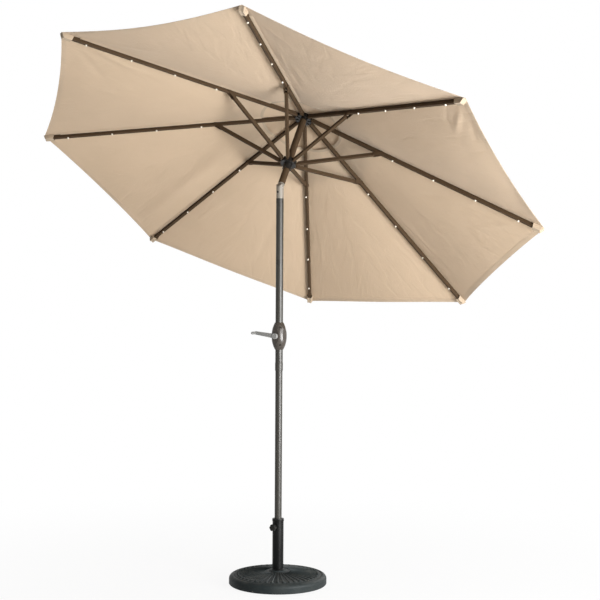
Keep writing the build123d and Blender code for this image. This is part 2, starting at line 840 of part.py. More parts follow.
with BuildPart() as rib:
    with BuildSketch(Plane.YZ.offset(rib_tube_start)):
        RectangleRounded(rib_width, rib_height, rib_corner)
    extrude(amount=rib_tube_end - rib_tube_start)
    with BuildSketch(Plane.YZ.offset(rib_tube_start + rib_end_plug)):
        RectangleRounded(rib_width - 2 * rib_wall, rib_height - 2 * rib_wall, rib_corner - rib_wall)
    extrude(amount=rib_tube_end, mode=Mode.SUBTRACT)
    add(flat_end.part)
    with Locations(*lamp_spots):
        Cylinder(lamp_radius + snug_gap, rib_height / 2, mode=Mode.SUBTRACT)
    with Locations((strut_joint, 0, 0)):
        Cylinder(rivet_radius + snug_gap, 2 * rib_width, rotation=along_y, mode=Mode.SUBTRACT)
        Cylinder(rivet_radius, 2 * rivet_grip, rotation=along_y)
        for side in (-1, 1):
            with Locations((0, side * (rivet_grip + rivet_head_thickness / 2), 0)):
                Cylinder(rivet_head_radius, rivet_head_thickness, rotation=along_y)

with BuildPart() as rib_cap:
    with BuildSketch(Plane.YZ.offset(cap_start)):
        RectangleRounded(rib_width + 2 * rib_cap_wall, rib_height + 2 * rib_cap_wall, rib_cap_corner)
    extrude(amount=rib_cap_length)
    with BuildSketch(Plane.YZ.offset(cap_start)):
        RectangleRounded(rib_width + 2 * snug_gap, rib_height + 2 * snug_gap, rib_corner)
    extrude(amount=rib_cap_overlap, mode=Mode.SUBTRACT)

with BuildPart() as strut:
    fork_start = strut_length - fork_depth
    with BuildSketch(Plane.YZ.offset(rib_tube_start)):
        RectangleRounded(strut_width, strut_height, strut_corner)
    extrude(amount=fork_start - fork_web - rib_tube_start)
    with BuildSketch(Plane.YZ.offset(rib_tube_start + rib_end_plug)):
        RectangleRounded(
            strut_width - 2 * strut_wall,
            strut_height - 2 * strut_wall,
            strut_corner - strut_wall,
        )
    extrude(amount=fork_start - fork_web - rib_tube_start - rib_end_plug, mode=Mode.SUBTRACT)
    with Locations((rib_tube_start + 2 * rib_end_plug, 0, -strut_height / 2)):
        Cylinder(drain_radius, strut_height, mode=Mode.SUBTRACT)
    add(flat_end.part)
    with BuildSketch(Plane.XZ):
        with Locations((strut_length, 0)):
            Circle(strut_height / 2)
        with Locations((strut_length - (fork_depth + fork_web) / 2, 0)):
            Rectangle(fork_depth + fork_web, strut_height)
        with Locations((strut_length, 0)):
            Circle(rivet_radius + rivet_play, mode=Mode.SUBTRACT)
    extrude(amount=fork_outer, both=True)
    with Locations((fork_start + fork_depth, 0, 0)):
        Box(2 * fork_depth, 2 * fork_inner, 2 * strut_height, mode=Mode.SUBTRACT)

with BuildPart() as light_string:
    cylinder_x(light_wire_radius, wire_start, last_lamp, wire_level)
    with Locations(*lamp_spots):
        Sphere(lamp_radius)
        Cylinder(
            lamp_radius, wire_level - lamp_level, align=(Align.CENTER, Align.CENTER, Align.MIN)
        )


def cloth_panels(level, inner_radius, corner_radius, mid_radius):
    """Two flat half gores that meet above a rib, at a level above its middle line."""
    over_pin = (hinge_radius + level * math.sin(droop), 0, level * math.cos(droop))
    along_rib = (math.cos(droop), 0, -math.sin(droop))
    gore = math.radians(half_gore)
    normal = (
        math.cos(gore) * math.sin(droop),
        math.sin(gore) * math.sin(droop),
        math.cos(gore) * math.cos(droop),
    )
    edge = math.radians(half_gore - gore_gap_angle)
    reach = 2 * corner_radius
    with BuildPart() as panels:
        with BuildSketch(Plane(origin=over_pin, x_dir=along_rib, z_dir=normal)):
            Rectangle(2 * reach, 2 * reach)
        extrude(amount=cloth_thickness)
        with BuildSketch(Plane.XY.offset(-reach)):
            with BuildLine():
                hem = ThreePointArc(
                    (corner_radius, 0),
                    (mid_radius * math.cos(gore), mid_radius * math.sin(gore)),
                    (corner_radius * math.cos(2 * gore), corner_radius * math.sin(2 * gore)),
                )
                Polyline(hem @ 1, (0, 0), hem @ 0)
            make_face()
            with BuildLine():
                Polyline(
                    (0, 0), (reach, 0), (reach * math.cos(edge), reach * math.sin(edge)), close=True
                )
            make_face(mode=Mode.INTERSECT)
            Circle(inner_radius, mode=Mode.SUBTRACT)
        extrude(amount=2 * reach, mode=Mode.INTERSECT)
        mirror(about=Plane.XZ)
    return panels.part


cloth_level = rib_height / 2 + rib_cap_wall + cloth_gap
cap_level = cloth_level + cloth_thickness + cap_lift
hem_corner_radius = hinge_radius + corner_reach * math.cos(droop) + cloth_level * math.sin(droop)

with BuildPart() as capped_rib:
    add(rib.part)
    add(rib_cap.part)

with BuildPart() as cloth:
    add(cloth_panels(cloth_level, vent_radius, hem_corner_radius, hem_mid_radius))
    add(cloth_panels(cap_level, cap_inner_radius, cap_corner_radius, cap_mid_radius))

for number in range(1, rib_count + 1):
    turn = Location((0, 0, 0), (0, 0, half_gore * (2 * number - 1)))
    rib_place = crown_place * turn * Location((hinge_radius, 0, 0), (0, rib_droop, 0))
    strut_place = runner_place * turn * Location((hinge_radius, 0, 0), (0, -strut_angle, 0))
    save(capped_rib.part, f"rib_{number}", rib_place)
    save(cloth.part, f"canopy_{number}", crown_place * turn)
    save(light_string.part, f"lights_{number}", rib_place)
    save(strut.part, f"strut_{number}", strut_place)

# ---------------------------------------------------------------- solar cap, drawn about the rib hinge pins
solar_top = solar_bottom + solar_height
panel_seat = solar_top - panel_thickness
switch_level = solar_bottom + switch_height
switch_start = -solar_radius - switch_stand_out
switch_end = switch_start + switch_length
switch_bore_end = switch_end + switch_travel + seat_gap

with BuildPart() as solar_housing:
    with BuildSketch(Plane.XZ):
        with BuildLine():
            outer = Polyline(
                (0, crown_top + seat_gap),
                (solar_boss_radius, crown_top + seat_gap),
                (solar_boss_radius, panel_seat - solar_wall),
                (solar_radius - solar_wall - solar_edge, panel_seat - solar_wall),
                (solar_radius - solar_wall, solar_top - solar_edge),
                (solar_radius - solar_wall, solar_bottom),
                (solar_radius, solar_bottom),
                (solar_radius, solar_top - solar_edge),
            )
            round_edge = RadiusArc(outer @ 1, (solar_radius - solar_edge, solar_top), -solar_edge)
            Polyline(round_edge @ 1, (0, solar_top), outer @ 0)
        make_face()
    revolve(axis=Axis.Z)
    cylinder_x(
        switch_radius + switch_boss_wall,
        -solar_radius + solar_wall / 2,
        switch_bore_end + switch_boss_wall,
        switch_level,
    )
    cylinder_x(
        switch_radius + running_clearance,
        2 * switch_start,
        switch_bore_end,
        switch_level,
        Mode.SUBTRACT,
    )
    with BuildSketch(Plane.XY.offset(crown_top)):
        Circle(stud_radius + snug_gap)
    extrude(amount=stud_length + snug_gap, mode=Mode.SUBTRACT)
    with BuildSketch(Plane.XY.offset(panel_seat)):
        Rectangle(panel_size + 2 * snug_gap, panel_size + 2 * snug_gap)
    extrude(amount=2 * panel_thickness, mode=Mode.SUBTRACT)
save(solar_housing.part, "solar_housing", crown_place)

with BuildPart() as solar_panel:
    with BuildSketch(Plane.XY.offset(panel_seat)):
        Rectangle(panel_size, panel_size)
    extrude(amount=panel_thickness)
save(solar_panel.part, "solar_panel", crown_place)

with BuildPart() as solar_switch:
    cylinder_x(switch_radius, switch_start, switch_end, switch_level)
    fillet(solar_switch.edges().group_by(Axis.X)[0], switch_edge)
save(solar_switch.part, "solar_switch", crown_place)
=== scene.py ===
"""Looks of the tilting patio umbrella: its cloth, its finishes and the studio that it stands in.

Every length is in metres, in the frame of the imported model: +Z up, origin on the floor under the pole.
The cloth is worked out in the crown's own frame. Its +Z runs up the mast and its +X points down the lean.
"""

from __future__ import annotations

import json
import logging
import math
from dataclasses import dataclass
from enum import Enum
from typing import Callable, Iterable, Sequence

import bmesh
import bpy
from mathutils import Matrix, Vector

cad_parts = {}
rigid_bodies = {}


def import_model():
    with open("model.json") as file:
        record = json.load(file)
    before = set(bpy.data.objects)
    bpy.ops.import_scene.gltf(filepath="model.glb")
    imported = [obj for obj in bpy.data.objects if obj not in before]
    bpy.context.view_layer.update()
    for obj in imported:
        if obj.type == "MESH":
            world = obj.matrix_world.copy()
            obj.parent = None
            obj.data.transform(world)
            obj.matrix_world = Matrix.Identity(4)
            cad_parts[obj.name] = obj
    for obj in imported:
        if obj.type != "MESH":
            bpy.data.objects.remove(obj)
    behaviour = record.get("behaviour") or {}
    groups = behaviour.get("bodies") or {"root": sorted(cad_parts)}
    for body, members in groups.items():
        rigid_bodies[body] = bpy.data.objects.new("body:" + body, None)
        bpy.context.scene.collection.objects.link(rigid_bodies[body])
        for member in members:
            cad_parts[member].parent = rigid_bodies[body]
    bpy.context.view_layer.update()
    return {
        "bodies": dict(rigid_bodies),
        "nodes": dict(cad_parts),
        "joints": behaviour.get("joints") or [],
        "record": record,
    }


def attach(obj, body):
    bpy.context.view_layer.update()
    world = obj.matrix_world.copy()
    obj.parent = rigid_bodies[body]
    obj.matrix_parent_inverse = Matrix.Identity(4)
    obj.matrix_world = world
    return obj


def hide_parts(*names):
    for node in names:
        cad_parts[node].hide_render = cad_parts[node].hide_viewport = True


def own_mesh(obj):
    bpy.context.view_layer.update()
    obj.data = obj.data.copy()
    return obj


log = logging.getLogger("umbrella")
Colour = tuple[float, float, float]
Point = tuple[float, float, float]
RIB_COUNT = 8
GORE = math.tau / RIB_COUNT
SHARP_ANGLE = math.radians(35)
BORDER = 1e-9  # Turn that moves a point off a border, into its own gore.
DUST_COLOUR: Colour = (0.42, 0.40, 0.36)
CANOPY_MIDDLE: Point = (0.1, 0.15, 2.1)

# Gives a point of a cloth's under face and its UV point, both in metres, for a column and a row.
Laid = Callable[[float, float], tuple[Vector, tuple[float, float]]]


# ------------------------------------------------------------------------------- node graphs
class Graph:
    """A node tree, with short ways to add nodes and to wire them."""

    def __init__(self, tree: bpy.types.NodeTree) -> None:
        """Start on a tree and clear it.

        Args:
            tree: The tree of a material, a world or a node group.
        """
        self.tree = tree
        tree.nodes.clear()

    def add(
        self, kind: str, inputs: dict[str | int, object] | None = None, **settings: object
    ) -> bpy.types.Node:
        """Add one node.

        Args:
            kind: The node's type, without the ShaderNode in front.
            inputs: What goes into its sockets: a value, or the socket that feeds them.
            **settings: The node's own properties, which are set first.

        Returns:
            The new node.
        """
        name = kind if kind.startswith("NodeGroup") else f"ShaderNode{kind}"
        node = self.tree.nodes.new(name)
        for key, value in settings.items():
            setattr(node, key, value)
        for key, value in (inputs or {}).items():
            socket = node.inputs[key]
            if isinstance(value, bpy.types.NodeSocket):
                self.tree.links.new(value, socket)
            else:
                socket.default_value = value
        return node

    def math(self, operation: str, first: object, second: object = 0.0) -> bpy.types.NodeSocket:
        """Add a Math node and return its result."""
        return self.add("Math", {0: first, 1: second}, operation=operation).outputs[0]

    def blend(self, share: object, first: object, second: object) -> bpy.types.NodeSocket:
        """Mix two colours by a share and return the colour."""
        return self.add("Mix", {0: share, 6: first, 7: second}, data_type="RGBA").outputs[2]

    def ramp(self, value: bpy.types.NodeSocket, low: float, high: float) -> bpy.types.NodeSocket:
        """Spread a value so that low gives 0 and high gives 1, with soft ends."""
        return self.add("MapRange", {0: value, 1: low, 2: high}, interpolation_type="SMOOTHSTEP").outputs[0]


def rgba(colour: Colour) -> tuple[float, float, float, float]:
    """Give a colour its opaque fourth channel."""
    return (*colour, 1.0)


class Effect(Enum):
    """The shader node groups that several finishes share."""

    MOTTLE = "Mottle"
    GRAIN = "Grain"
    WEAVE = "Weave"
    DUST = "Dust"
    CREASE = "Crease"


class Effects:
    """Builds each shared node group once and hands it out."""

    def __init__(self) -> None:
        """Start with no group built."""
        self.built: dict[Effect, bpy.types.NodeTree] = {}

    def get(self, effect: Effect) -> bpy.types.NodeTree:
        """Return the node group of an effect, building it when first asked for.

        Args:
            effect: Which group.

        Returns:
            The group's node tree.
        """
        if effect not in self.built:
            makers = {
                Effect.MOTTLE: self._mottle,
                Effect.GRAIN: self._grain,
                Effect.WEAVE: self._weave,
                Effect.DUST: self._dust,
                Effect.CREASE: self._crease,
            }
            self.built[effect] = makers[effect]()
        return self.built[effect]

    def place(self, graph: Graph, effect: Effect, inputs: dict[str, object]) -> bpy.types.Node:
        """Put an effect's group in a material, with what feeds it."""
        return graph.add("Group", inputs, node_tree=self.get(effect))

    @staticmethod
    def _open(
        effect: Effect, setting: str, value: float, outputs: Sequence[str]
    ) -> tuple[Graph, bpy.types.Node, bpy.types.Node]:
        """Start a group that reads a place and one setting.

        Args:
            effect: Which group, for its name.
            setting: Name of its setting.
            value: What the setting starts at.
            outputs: Names of the values that it gives.

        Returns:
            The group's graph, its input node and its output node.
        """
        tree = bpy.data.node_groups.new(effect.value, "ShaderNodeTree")
        graph = Graph(tree)
        tree.interface.new_socket("Vector", in_out="INPUT", socket_type="NodeSocketVector")
        socket = tree.interface.new_socket(setting, in_out="INPUT", socket_type="NodeSocketFloat")
        socket.default_value = value
        for label in outputs:
            tree.interface.new_socket(label, in_out="OUTPUT", socket_type="NodeSocketFloat")
        return graph, graph.add("NodeGroupInput"), graph.add("NodeGroupOutput")

    def _mottle(self) -> bpy.types.NodeTree:
        """Slow drifts of tone, as in any dyed or painted surface.

        Returns:
            The group's node tree.
        """
        graph, start, end = self._open(Effect.MOTTLE, "Scale", 4.0, ["Mask"])
        noise = graph.add(
            "TexNoise",
            {"Vector": start.outputs[0], "Scale": start.outputs[1], "Detail": 3.0, "Roughness": 0.55},
        )
        graph.tree.links.new(graph.ramp(noise.outputs[0], 0.3, 0.7), end.inputs[0])
        return graph.tree

    def _grain(self) -> bpy.types.NodeTree:
        """Fine orange peel of powder paint or the grain of a moulding.

        Returns:
            The group's node tree.
        """
        graph, start, end = self._open(Effect.GRAIN, "Scale", 900.0, ["Height"])
        place = {"Vector": start.outputs[0], "Scale": start.outputs[1]}
        fine = graph.add("TexNoise", {**place, "Detail": 2.0})
        cells = graph.add("TexVoronoi", place, feature="SMOOTH_F1")
        mixed = graph.math("ADD", fine.outputs[0], graph.math("MULTIPLY", cells.outputs[0], 0.6))
        graph.tree.links.new(mixed, end.inputs[0])
        return graph.tree

    def _weave(self) -> bpy.types.NodeTree:
        """Plain weave: warp and weft that pass over and under each other, on a UV map in metres.

        Returns:
            The group's node tree.
        """
        graph, start, end = self._open(Effect.WEAVE, "Threads", 1000.0, ["Height", "Tone"])
        parts = graph.add("SeparateXYZ", {0: start.outputs[0]})
        turns = [
            graph.math("MULTIPLY", graph.math("MULTIPLY", parts.outputs[axis], start.outputs[1]), math.pi)
            for axis in (0, 1)
        ]
        waves = [graph.math("ABSOLUTE", graph.math("SINE", turn)) for turn in turns]
        over = graph.math("MULTIPLY", graph.math("SINE", turns[0]), graph.math("SINE", turns[1]))
        warp_share = graph.ramp(over, -0.2, 0.2)
        weft_share = graph.math("SUBTRACT", 1.0, warp_share)
        warp = graph.math("MULTIPLY", waves[0], warp_share)
        weft = graph.math("MULTIPLY", waves[1], weft_share)
        height = graph.math("ADD", warp, weft)
        slub_scale = graph.math("MULTIPLY", start.outputs[1], 0.08)
        slubs = graph.add("TexNoise", {"Vector": start.outputs[0], "Scale": slub_scale})
        graph.tree.links.new(height, end.inputs[0])
        graph.tree.links.new(slubs.outputs[0], end.inputs[1])
        return graph.tree

    def _dust(self) -> bpy.types.NodeTree:
        """Dust that settles on what faces up, thinned by a noise.

        Returns:
            The group's node tree.
        """
        graph, start, end = self._open(Effect.DUST, "Amount", 0.2, ["Mask"])
        normal = graph.add("NewGeometry").outputs["Normal"]
        upward = graph.ramp(graph.add("SeparateXYZ", {0: normal}).outputs[2], 0.2, 1.0)
        patches = graph.add("TexNoise", {"Vector": start.outputs[0], "Scale": 22.0, "Detail": 5.0})
        spread = graph.math("MULTIPLY", upward, graph.ramp(patches.outputs[0], 0.35, 0.75))
        graph.tree.links.new(graph.math("MULTIPLY", spread, start.outputs[1]), end.inputs[0])
        return graph.tree

    def _crease(self) -> bpy.types.NodeTree:
        """Soft creases along the second axis, as cloth keeps from the bag that it was packed in.

        Returns:
            The group's node tree.
        """
        graph, start, end = self._open(Effect.CREASE, "Scale", 4.0, ["Height"])
        drawn = graph.add("VectorMath", {0: start.outputs[0], 1: (1.0, 0.28, 1.0)}, operation="MULTIPLY")
        broad = graph.add(
            "TexNoise",
            {"Vector": drawn.outputs[0], "Scale": start.outputs[1], "Detail": 3.0, "Distortion": 0.3},
        )
        ridge = graph.math("ABSOLUTE", graph.math("SUBTRACT", broad.outputs[0], 0.5))
        graph.tree.links.new(graph.ramp(ridge, 0.0, 0.08), end.inputs[0])
        return graph.tree


# ------------------------------------------------------------------------------- finishes
@dataclass(frozen=True)
class Finish:
    """A rigid, opaque finish: paint, moulding, metal or stone.

    Attributes:
        name: The material's name.
        colour: Main colour, linear.
        worn: Colour of the drifts and of worn spots, linear.
        roughness: Roughness in the middle of its range.
        rough_range: How far apart the roughest and the smoothest drifts are.
        metallic: 1 on bare metal.
        grain: Depth of the grain's bump, in metres. 0 on a surface that is smooth to the eye.
        grain_scale: Grains per metre.
        mottle_scale: Drifts per metre.
        mottle: How much of the worn colour the drifts show.
        dust: How much dust faces that look up carry.
        specular: Strength of the surface reflection, 0.5 on common plastics and paints.
        coat: Strength of a clear coat.
    """

    name: str
    colour: Colour
    worn: Colour
    roughness: float = 0.45
    rough_range: float = 0.12
    metallic: float = 0.0
    grain: float = 0.00005
    grain_scale: float = 900.0
    mottle_scale: float = 9.0
    mottle: float = 0.35
    dust: float = 0.0
    specular: float = 0.5
    coat: float = 0.0

    def build(self, effects: Effects) -> bpy.types.Material:
        """Make the material.

        Args:
            effects: The shared node groups.

        Returns:
            The material.
        """
        material = bpy.data.materials.new(self.name)
        material.use_nodes = True
        graph = Graph(material.node_tree)
        place = graph.add("TexCoord").outputs["Object"]
        mottle = effects.place(graph, Effect.MOTTLE, {"Vector": place, "Scale": self.mottle_scale})
        drift = graph.math("MULTIPLY", mottle.outputs[0], self.mottle)
        colour = graph.blend(drift, rgba(self.colour), rgba(self.worn))
        if self.dust:
            dust = effects.place(graph, Effect.DUST, {"Vector": place, "Amount": self.dust})
            colour = graph.blend(dust.outputs[0], colour, rgba(DUST_COLOUR))
        spread = graph.math("MULTIPLY", mottle.outputs[0], self.rough_range)
        rough = graph.math("ADD", spread, self.roughness - self.rough_range / 2)
        surface = graph.add(
            "BsdfPrincipled",
            {
                "Base Color": colour,
                "Roughness": rough,
                "Metallic": self.metallic,
                "Specular IOR Level": self.specular,
                "Coat Weight": self.coat,
                "Coat Roughness": 0.2,
            },
        )
        if self.grain:
            grain = effects.place(graph, Effect.GRAIN, {"Vector": place, "Scale": self.grain_scale})
            relief = {"Strength": 1.0, "Distance": self.grain, "Height": grain.outputs[0]}
            graph.tree.links.new(graph.add("Bump", relief).outputs[0], surface.inputs["Normal"])
        graph.add("OutputMaterial", {"Surface": surface.outputs[0]})
        return material


@dataclass(frozen=True)
class ClothFinish:
    """Woven outdoor cloth that lets some daylight through.

    Attributes:
        name: The material's name.
        colour: Colour of the yarn, linear.
        shade: Colour of the slow drifts, linear.
        threads: Threads per metre.
        thread_height: Relief of the weave, in metres.
        through: Share of the light that goes through.
        drift_scale: Slow drifts per metre.
        drift: How much of the drifts' colour shows.
        yarn_drift: How much thick and thin yarn changes the colour.
        crease_scale: Soft creases per metre.
        crease_height: Relief of the soft creases, in metres.
    """

    name: str
    colour: Colour
    shade: Colour
    threads: float = 900.0
    thread_height: float = 0.00012
    through: float = 0.3
    drift_scale: float = 5.0
    drift: float = 0.5
    yarn_drift: float = 0.25
    crease_scale: float = 8.0
    crease_height: float = 0.0007

    def build(self, effects: Effects) -> bpy.types.Material:
        """Make the material.

        Args:
            effects: The shared node groups.

        Returns:
            The material.
        """
        material = bpy.data.materials.new(self.name)
        material.use_nodes = True
        graph = Graph(material.node_tree)
        places = graph.add("TexCoord").outputs
        weave = effects.place(graph, Effect.WEAVE, {"Vector": places["UV"], "Threads": self.threads})
        mottle = effects.place(
            graph, Effect.MOTTLE, {"Vector": places["Object"], "Scale": self.drift_scale}
        )
        crease = effects.place(graph, Effect.CREASE, {"Vector": places["UV"], "Scale": self.crease_scale})
        yarn = graph.math("MULTIPLY", graph.math("SUBTRACT", weave.outputs[1], 0.5), self.yarn_drift)
        drift = graph.math("ADD", graph.math("MULTIPLY", mottle.outputs[0], self.drift), yarn)
        colour = graph.blend(drift, rgba(self.colour), rgba(self.shade))
        soft = graph.add(
            "Bump", {"Strength": 1.0, "Distance": self.crease_height, "Height": crease.outputs[0]}
        )
        bump = graph.add(
            "Bump",
            {
                "Strength": 1.0,
                "Distance": self.thread_height,
                "Height": weave.outputs[0],
                "Normal": soft.outputs[0],
            },
        )
        front = graph.add(
            "BsdfPrincipled",
            {
                "Base Color": colour,
                "Roughness": 0.9,
                "Specular IOR Level": 0.2,
                "Sheen Weight": 0.15,
                "Sheen Roughness": 0.4,
                "Normal": bump.outputs[0],
            },
        )
        behind = graph.add("BsdfTranslucent", {"Color": colour, "Normal": bump.outputs[0]})
        mixed = graph.add("MixShader", {0: self.through, 1: front.outputs[0], 2: behind.outputs[0]})
        graph.add("OutputMaterial", {"Surface": mixed.outputs[0]})
        return material


class Paint(Enum):
    """The finishes of the umbrella's pieces, by the maker's names."""

    POLE = "pole powder coat"
    FRAME = "frame powder coat"
    SOCKET = "socket tube paint"
    STONE = "base stone"
    HUB = "hub moulding"
    HOUSING = "housing moulding"
    KNOB = "knob moulding"
    GRIP = "grip moulding"
    CASTING = "tilt casting"
    CRANK = "crank casting"
    ZINC = "zinc plate"
    BLACK_STEEL = "blackened steel"
    RUBBER = "foot rubber"
    LENS = "lamp lens"
    CELLS = "solar cells"


FINISHES: dict[Paint, Finish] = {
    Paint.POLE: Finish(
        "pole_paint", (0.036, 0.034, 0.029), (0.044, 0.042, 0.036), 0.30,
        grain=0.0, dust=0.05, specular=0.19,
    ),
    Paint.FRAME: Finish(
        "frame_paint", (0.058, 0.037, 0.021), (0.074, 0.048, 0.029), 0.45, grain=0.00001, specular=0.04
    ),
    Paint.SOCKET: Finish(
        "socket_paint", (0.003, 0.003, 0.003), (0.006, 0.006, 0.005), 0.34, grain=0.00001, specular=0.10
    ),
    Paint.STONE: Finish(
        "base_stone", (0.015, 0.020, 0.021), (0.030, 0.035, 0.034), 0.5, grain=0.0003, grain_scale=260.0,
        mottle_scale=14.0, mottle=0.6, dust=0.06, specular=0.07,
    ),
    Paint.HUB: Finish(
        "hub_moulding", (0.010, 0.009, 0.008), (0.018, 0.016, 0.014), 0.30, grain=0.00001, specular=0.25
    ),
    Paint.HOUSING: Finish(
        "housing_moulding", (0.052, 0.044, 0.037), (0.062, 0.053, 0.045), 0.26, grain=0.0, specular=0.25
    ),
    Paint.KNOB: Finish(
        "knob_moulding", (0.012, 0.012, 0.011), (0.022, 0.021, 0.02), 0.4, grain=0.00002, specular=0.12
    ),
    Paint.GRIP: Finish(
        "grip_moulding", (0.16, 0.16, 0.155), (0.22, 0.22, 0.21), 0.45, grain=0.00002, specular=0.15
    ),
    Paint.CASTING: Finish(
        "tilt_casting", (0.24, 0.218, 0.185), (0.17, 0.155, 0.13), 0.42, grain_scale=500.0, specular=0.18
    ),
    Paint.CRANK: Finish(
        "crank_casting", (0.30, 0.30, 0.29), (0.22, 0.22, 0.21), 0.42, grain_scale=500.0, specular=0.18
    ),
    Paint.ZINC: Finish(
        "zinc_plate", (0.55, 0.55, 0.54), (0.42, 0.42, 0.40), 0.34, metallic=1.0, grain=0.00002
    ),
    Paint.BLACK_STEEL: Finish("black_steel", (0.05, 0.045, 0.04), (0.12, 0.11, 0.10), 0.4, metallic=0.7),
    Paint.RUBBER: Finish("foot_rubber", (0.015, 0.015, 0.015), (0.03, 0.03, 0.03), 0.8, specular=0.2),
    Paint.LENS: Finish(
        "lamp_lens", (0.76, 0.70, 0.60), (0.70, 0.64, 0.54), 0.16, grain=0.00001, coat=0.5
    ),
    Paint.CELLS: Finish(
        "solar_cells", (0.010, 0.014, 0.040), (0.02, 0.03, 0.08), 0.12, grain=0.00001, coat=1.0
    ),
}

CLOTH = ClothFinish("canopy_cloth", (0.63, 0.497, 0.358), (0.59, 0.464, 0.328))
# Binding cloth for the trims and corner pockets, a fifth darker than the main cloth. The darkening is
# painted shade that dims them where they face the lamps.
SHADED_TAPE = ClothFinish("binding_cloth_painted_shade", (0.51, 0.405, 0.292), (0.47, 0.37, 0.265), threads=700.0, through=0.2)

NODE_PAINTS: dict[str, Paint] = {
    "base_disc": Paint.STONE,
    "base_tube": Paint.SOCKET,
    "base_fasteners": Paint.ZINC,
    "base_feet": Paint.RUBBER,
    "clamp_pad": Paint.RUBBER,
    "clamp_knob": Paint.KNOB,
    "pole_collar": Paint.KNOB,
    "lower_pole": Paint.POLE,
    "upper_pole": Paint.POLE,
    "crank_housing_left": Paint.HOUSING,
    "crank_housing_right": Paint.HOUSING,
    "housing_screws": Paint.BLACK_STEEL,
    "crank_drum": Paint.ZINC,
    "crank_handle": Paint.CRANK,
    "crank_grip": Paint.GRIP,
    "tilt_socket": Paint.CASTING,
    "tilt_head": Paint.CASTING,
    "tilt_pin": Paint.ZINC,
    "tilt_button": Paint.KNOB,
    "mast_tube": Paint.FRAME,
    "crown": Paint.HUB,
    "crown_pins": Paint.BLACK_STEEL,
    "sheave": Paint.HUB,
    "runner": Paint.HUB,
    "runner_pins": Paint.BLACK_STEEL,
    "solar_housing": Paint.HUB,
    "solar_panel": Paint.CELLS,
    "solar_switch": Paint.KNOB,
    **{f"rib_{k}": Paint.FRAME for k in range(1, RIB_COUNT + 1)},
    **{f"strut_{k}": Paint.FRAME for k in range(1, RIB_COUNT + 1)},
    **{f"lights_{k}": Paint.LENS for k in range(1, RIB_COUNT + 1)},
}


class Wardrobe:
    """Builds each finish once and dresses pieces in it."""

    def __init__(self) -> None:
        """Start with no material built."""
        self.effects = Effects()
        self.made: dict[str, bpy.types.Material] = {}

    def material(self, finish: Finish | ClothFinish) -> bpy.types.Material:
        """Return the material of a finish, building it when first asked for.

        Args:
            finish: The finish.

        Returns:
            Its material.
        """
        if finish.name not in self.made:
            self.made[finish.name] = finish.build(self.effects)
        return self.made[finish.name]

    def dress(self, piece: bpy.types.Object, finish: Finish | ClothFinish) -> None:
        """Give a piece one finish in place of what it has."""
        piece.data.materials.clear()
        piece.data.materials.append(self.material(finish))


# ------------------------------------------------------------------------------- mesh work
def to_piece(bm: bmesh.types.BMesh, name: str, place: Matrix) -> bpy.types.Object:
    """Turn a bmesh into a smooth-shaded object whose place is in its mesh.

    Args:
        bm: The finished mesh, which is freed.
        name: Name of the object.
        place: Matrix that carries the mesh into the model's frame.

    Returns:
        The object, linked to the scene.
    """
    bm.transform(place)
    for edge in bm.edges:
        if len(edge.link_faces) == 2 and edge.calc_face_angle(0.0) > SHARP_ANGLE:
            edge.smooth = False
    mesh = bpy.data.meshes.new(name)
    bm.to_mesh(mesh)
    bm.free()
    mesh.shade_smooth()
    piece = bpy.data.objects.new(name, mesh)
    bpy.context.scene.collection.objects.link(piece)
    return piece


def patch(
    columns: Sequence[float], rows: Sequence[float], lower: Laid, thickness: float
) -> bmesh.types.BMesh:
    """A piece of cloth as a closed solid, from a grid laid on a surface.

    Args:
        columns: Places of the grid's columns, from the first side to the other.
        rows: Places of its rows, from the inner edge to the outer.
        lower: Gives the point of the under face and the UV point, in metres, for a column and a row.
        thickness: Thickness of the cloth, upwards.

    Returns:
        The mesh, with a UV map in metres.
    """
    bm = bmesh.new()
    steps = {"x_segments": len(columns) - 1, "y_segments": len(rows) - 1}
    bmesh.ops.create_grid(bm, **steps, size=1.0, calc_uvs=True)
    layer = bm.loops.layers.uv.verify()
    flat: dict[bmesh.types.BMVert, tuple[float, float]] = {}
    for vert in bm.verts:
        column = columns[round((vert.co.x + 1) / 2 * (len(columns) - 1))]
        row = rows[round((vert.co.y + 1) / 2 * (len(rows) - 1))]
        vert.co, flat[vert] = lower(column, row)
    for face in bm.faces:
        for loop in face.loops:
            loop[layer].uv = flat[loop.vert]
    bm.normal_update()
    if sum(face.normal.z for face in bm.faces) > 0:
        bmesh.ops.reverse_faces(bm, faces=bm.faces[:])
    bmesh.ops.solidify(bm, geom=bm.faces[:], thickness=-thickness)
    bmesh.ops.recalc_face_normals(bm, faces=bm.faces[:])
    return bm


def spaced(start: float, end: float, count: int, bias: float = 1.0) -> list[float]:
    """Numbers from start to end, closer together at the start when bias is over 1."""
    return [start + (end - start) * (index / count) ** bias for index in range(count + 1)]


def mirrored(half: Sequence[float]) -> list[float]:
    """The same spacing on both sides of zero, from a list that starts at zero."""
    return [-value for value in reversed(half[1:])] + list(half)


def clamped(value: float) -> float:
    """A share kept between 0 and 1."""
    return max(0.0, min(1.0, value))


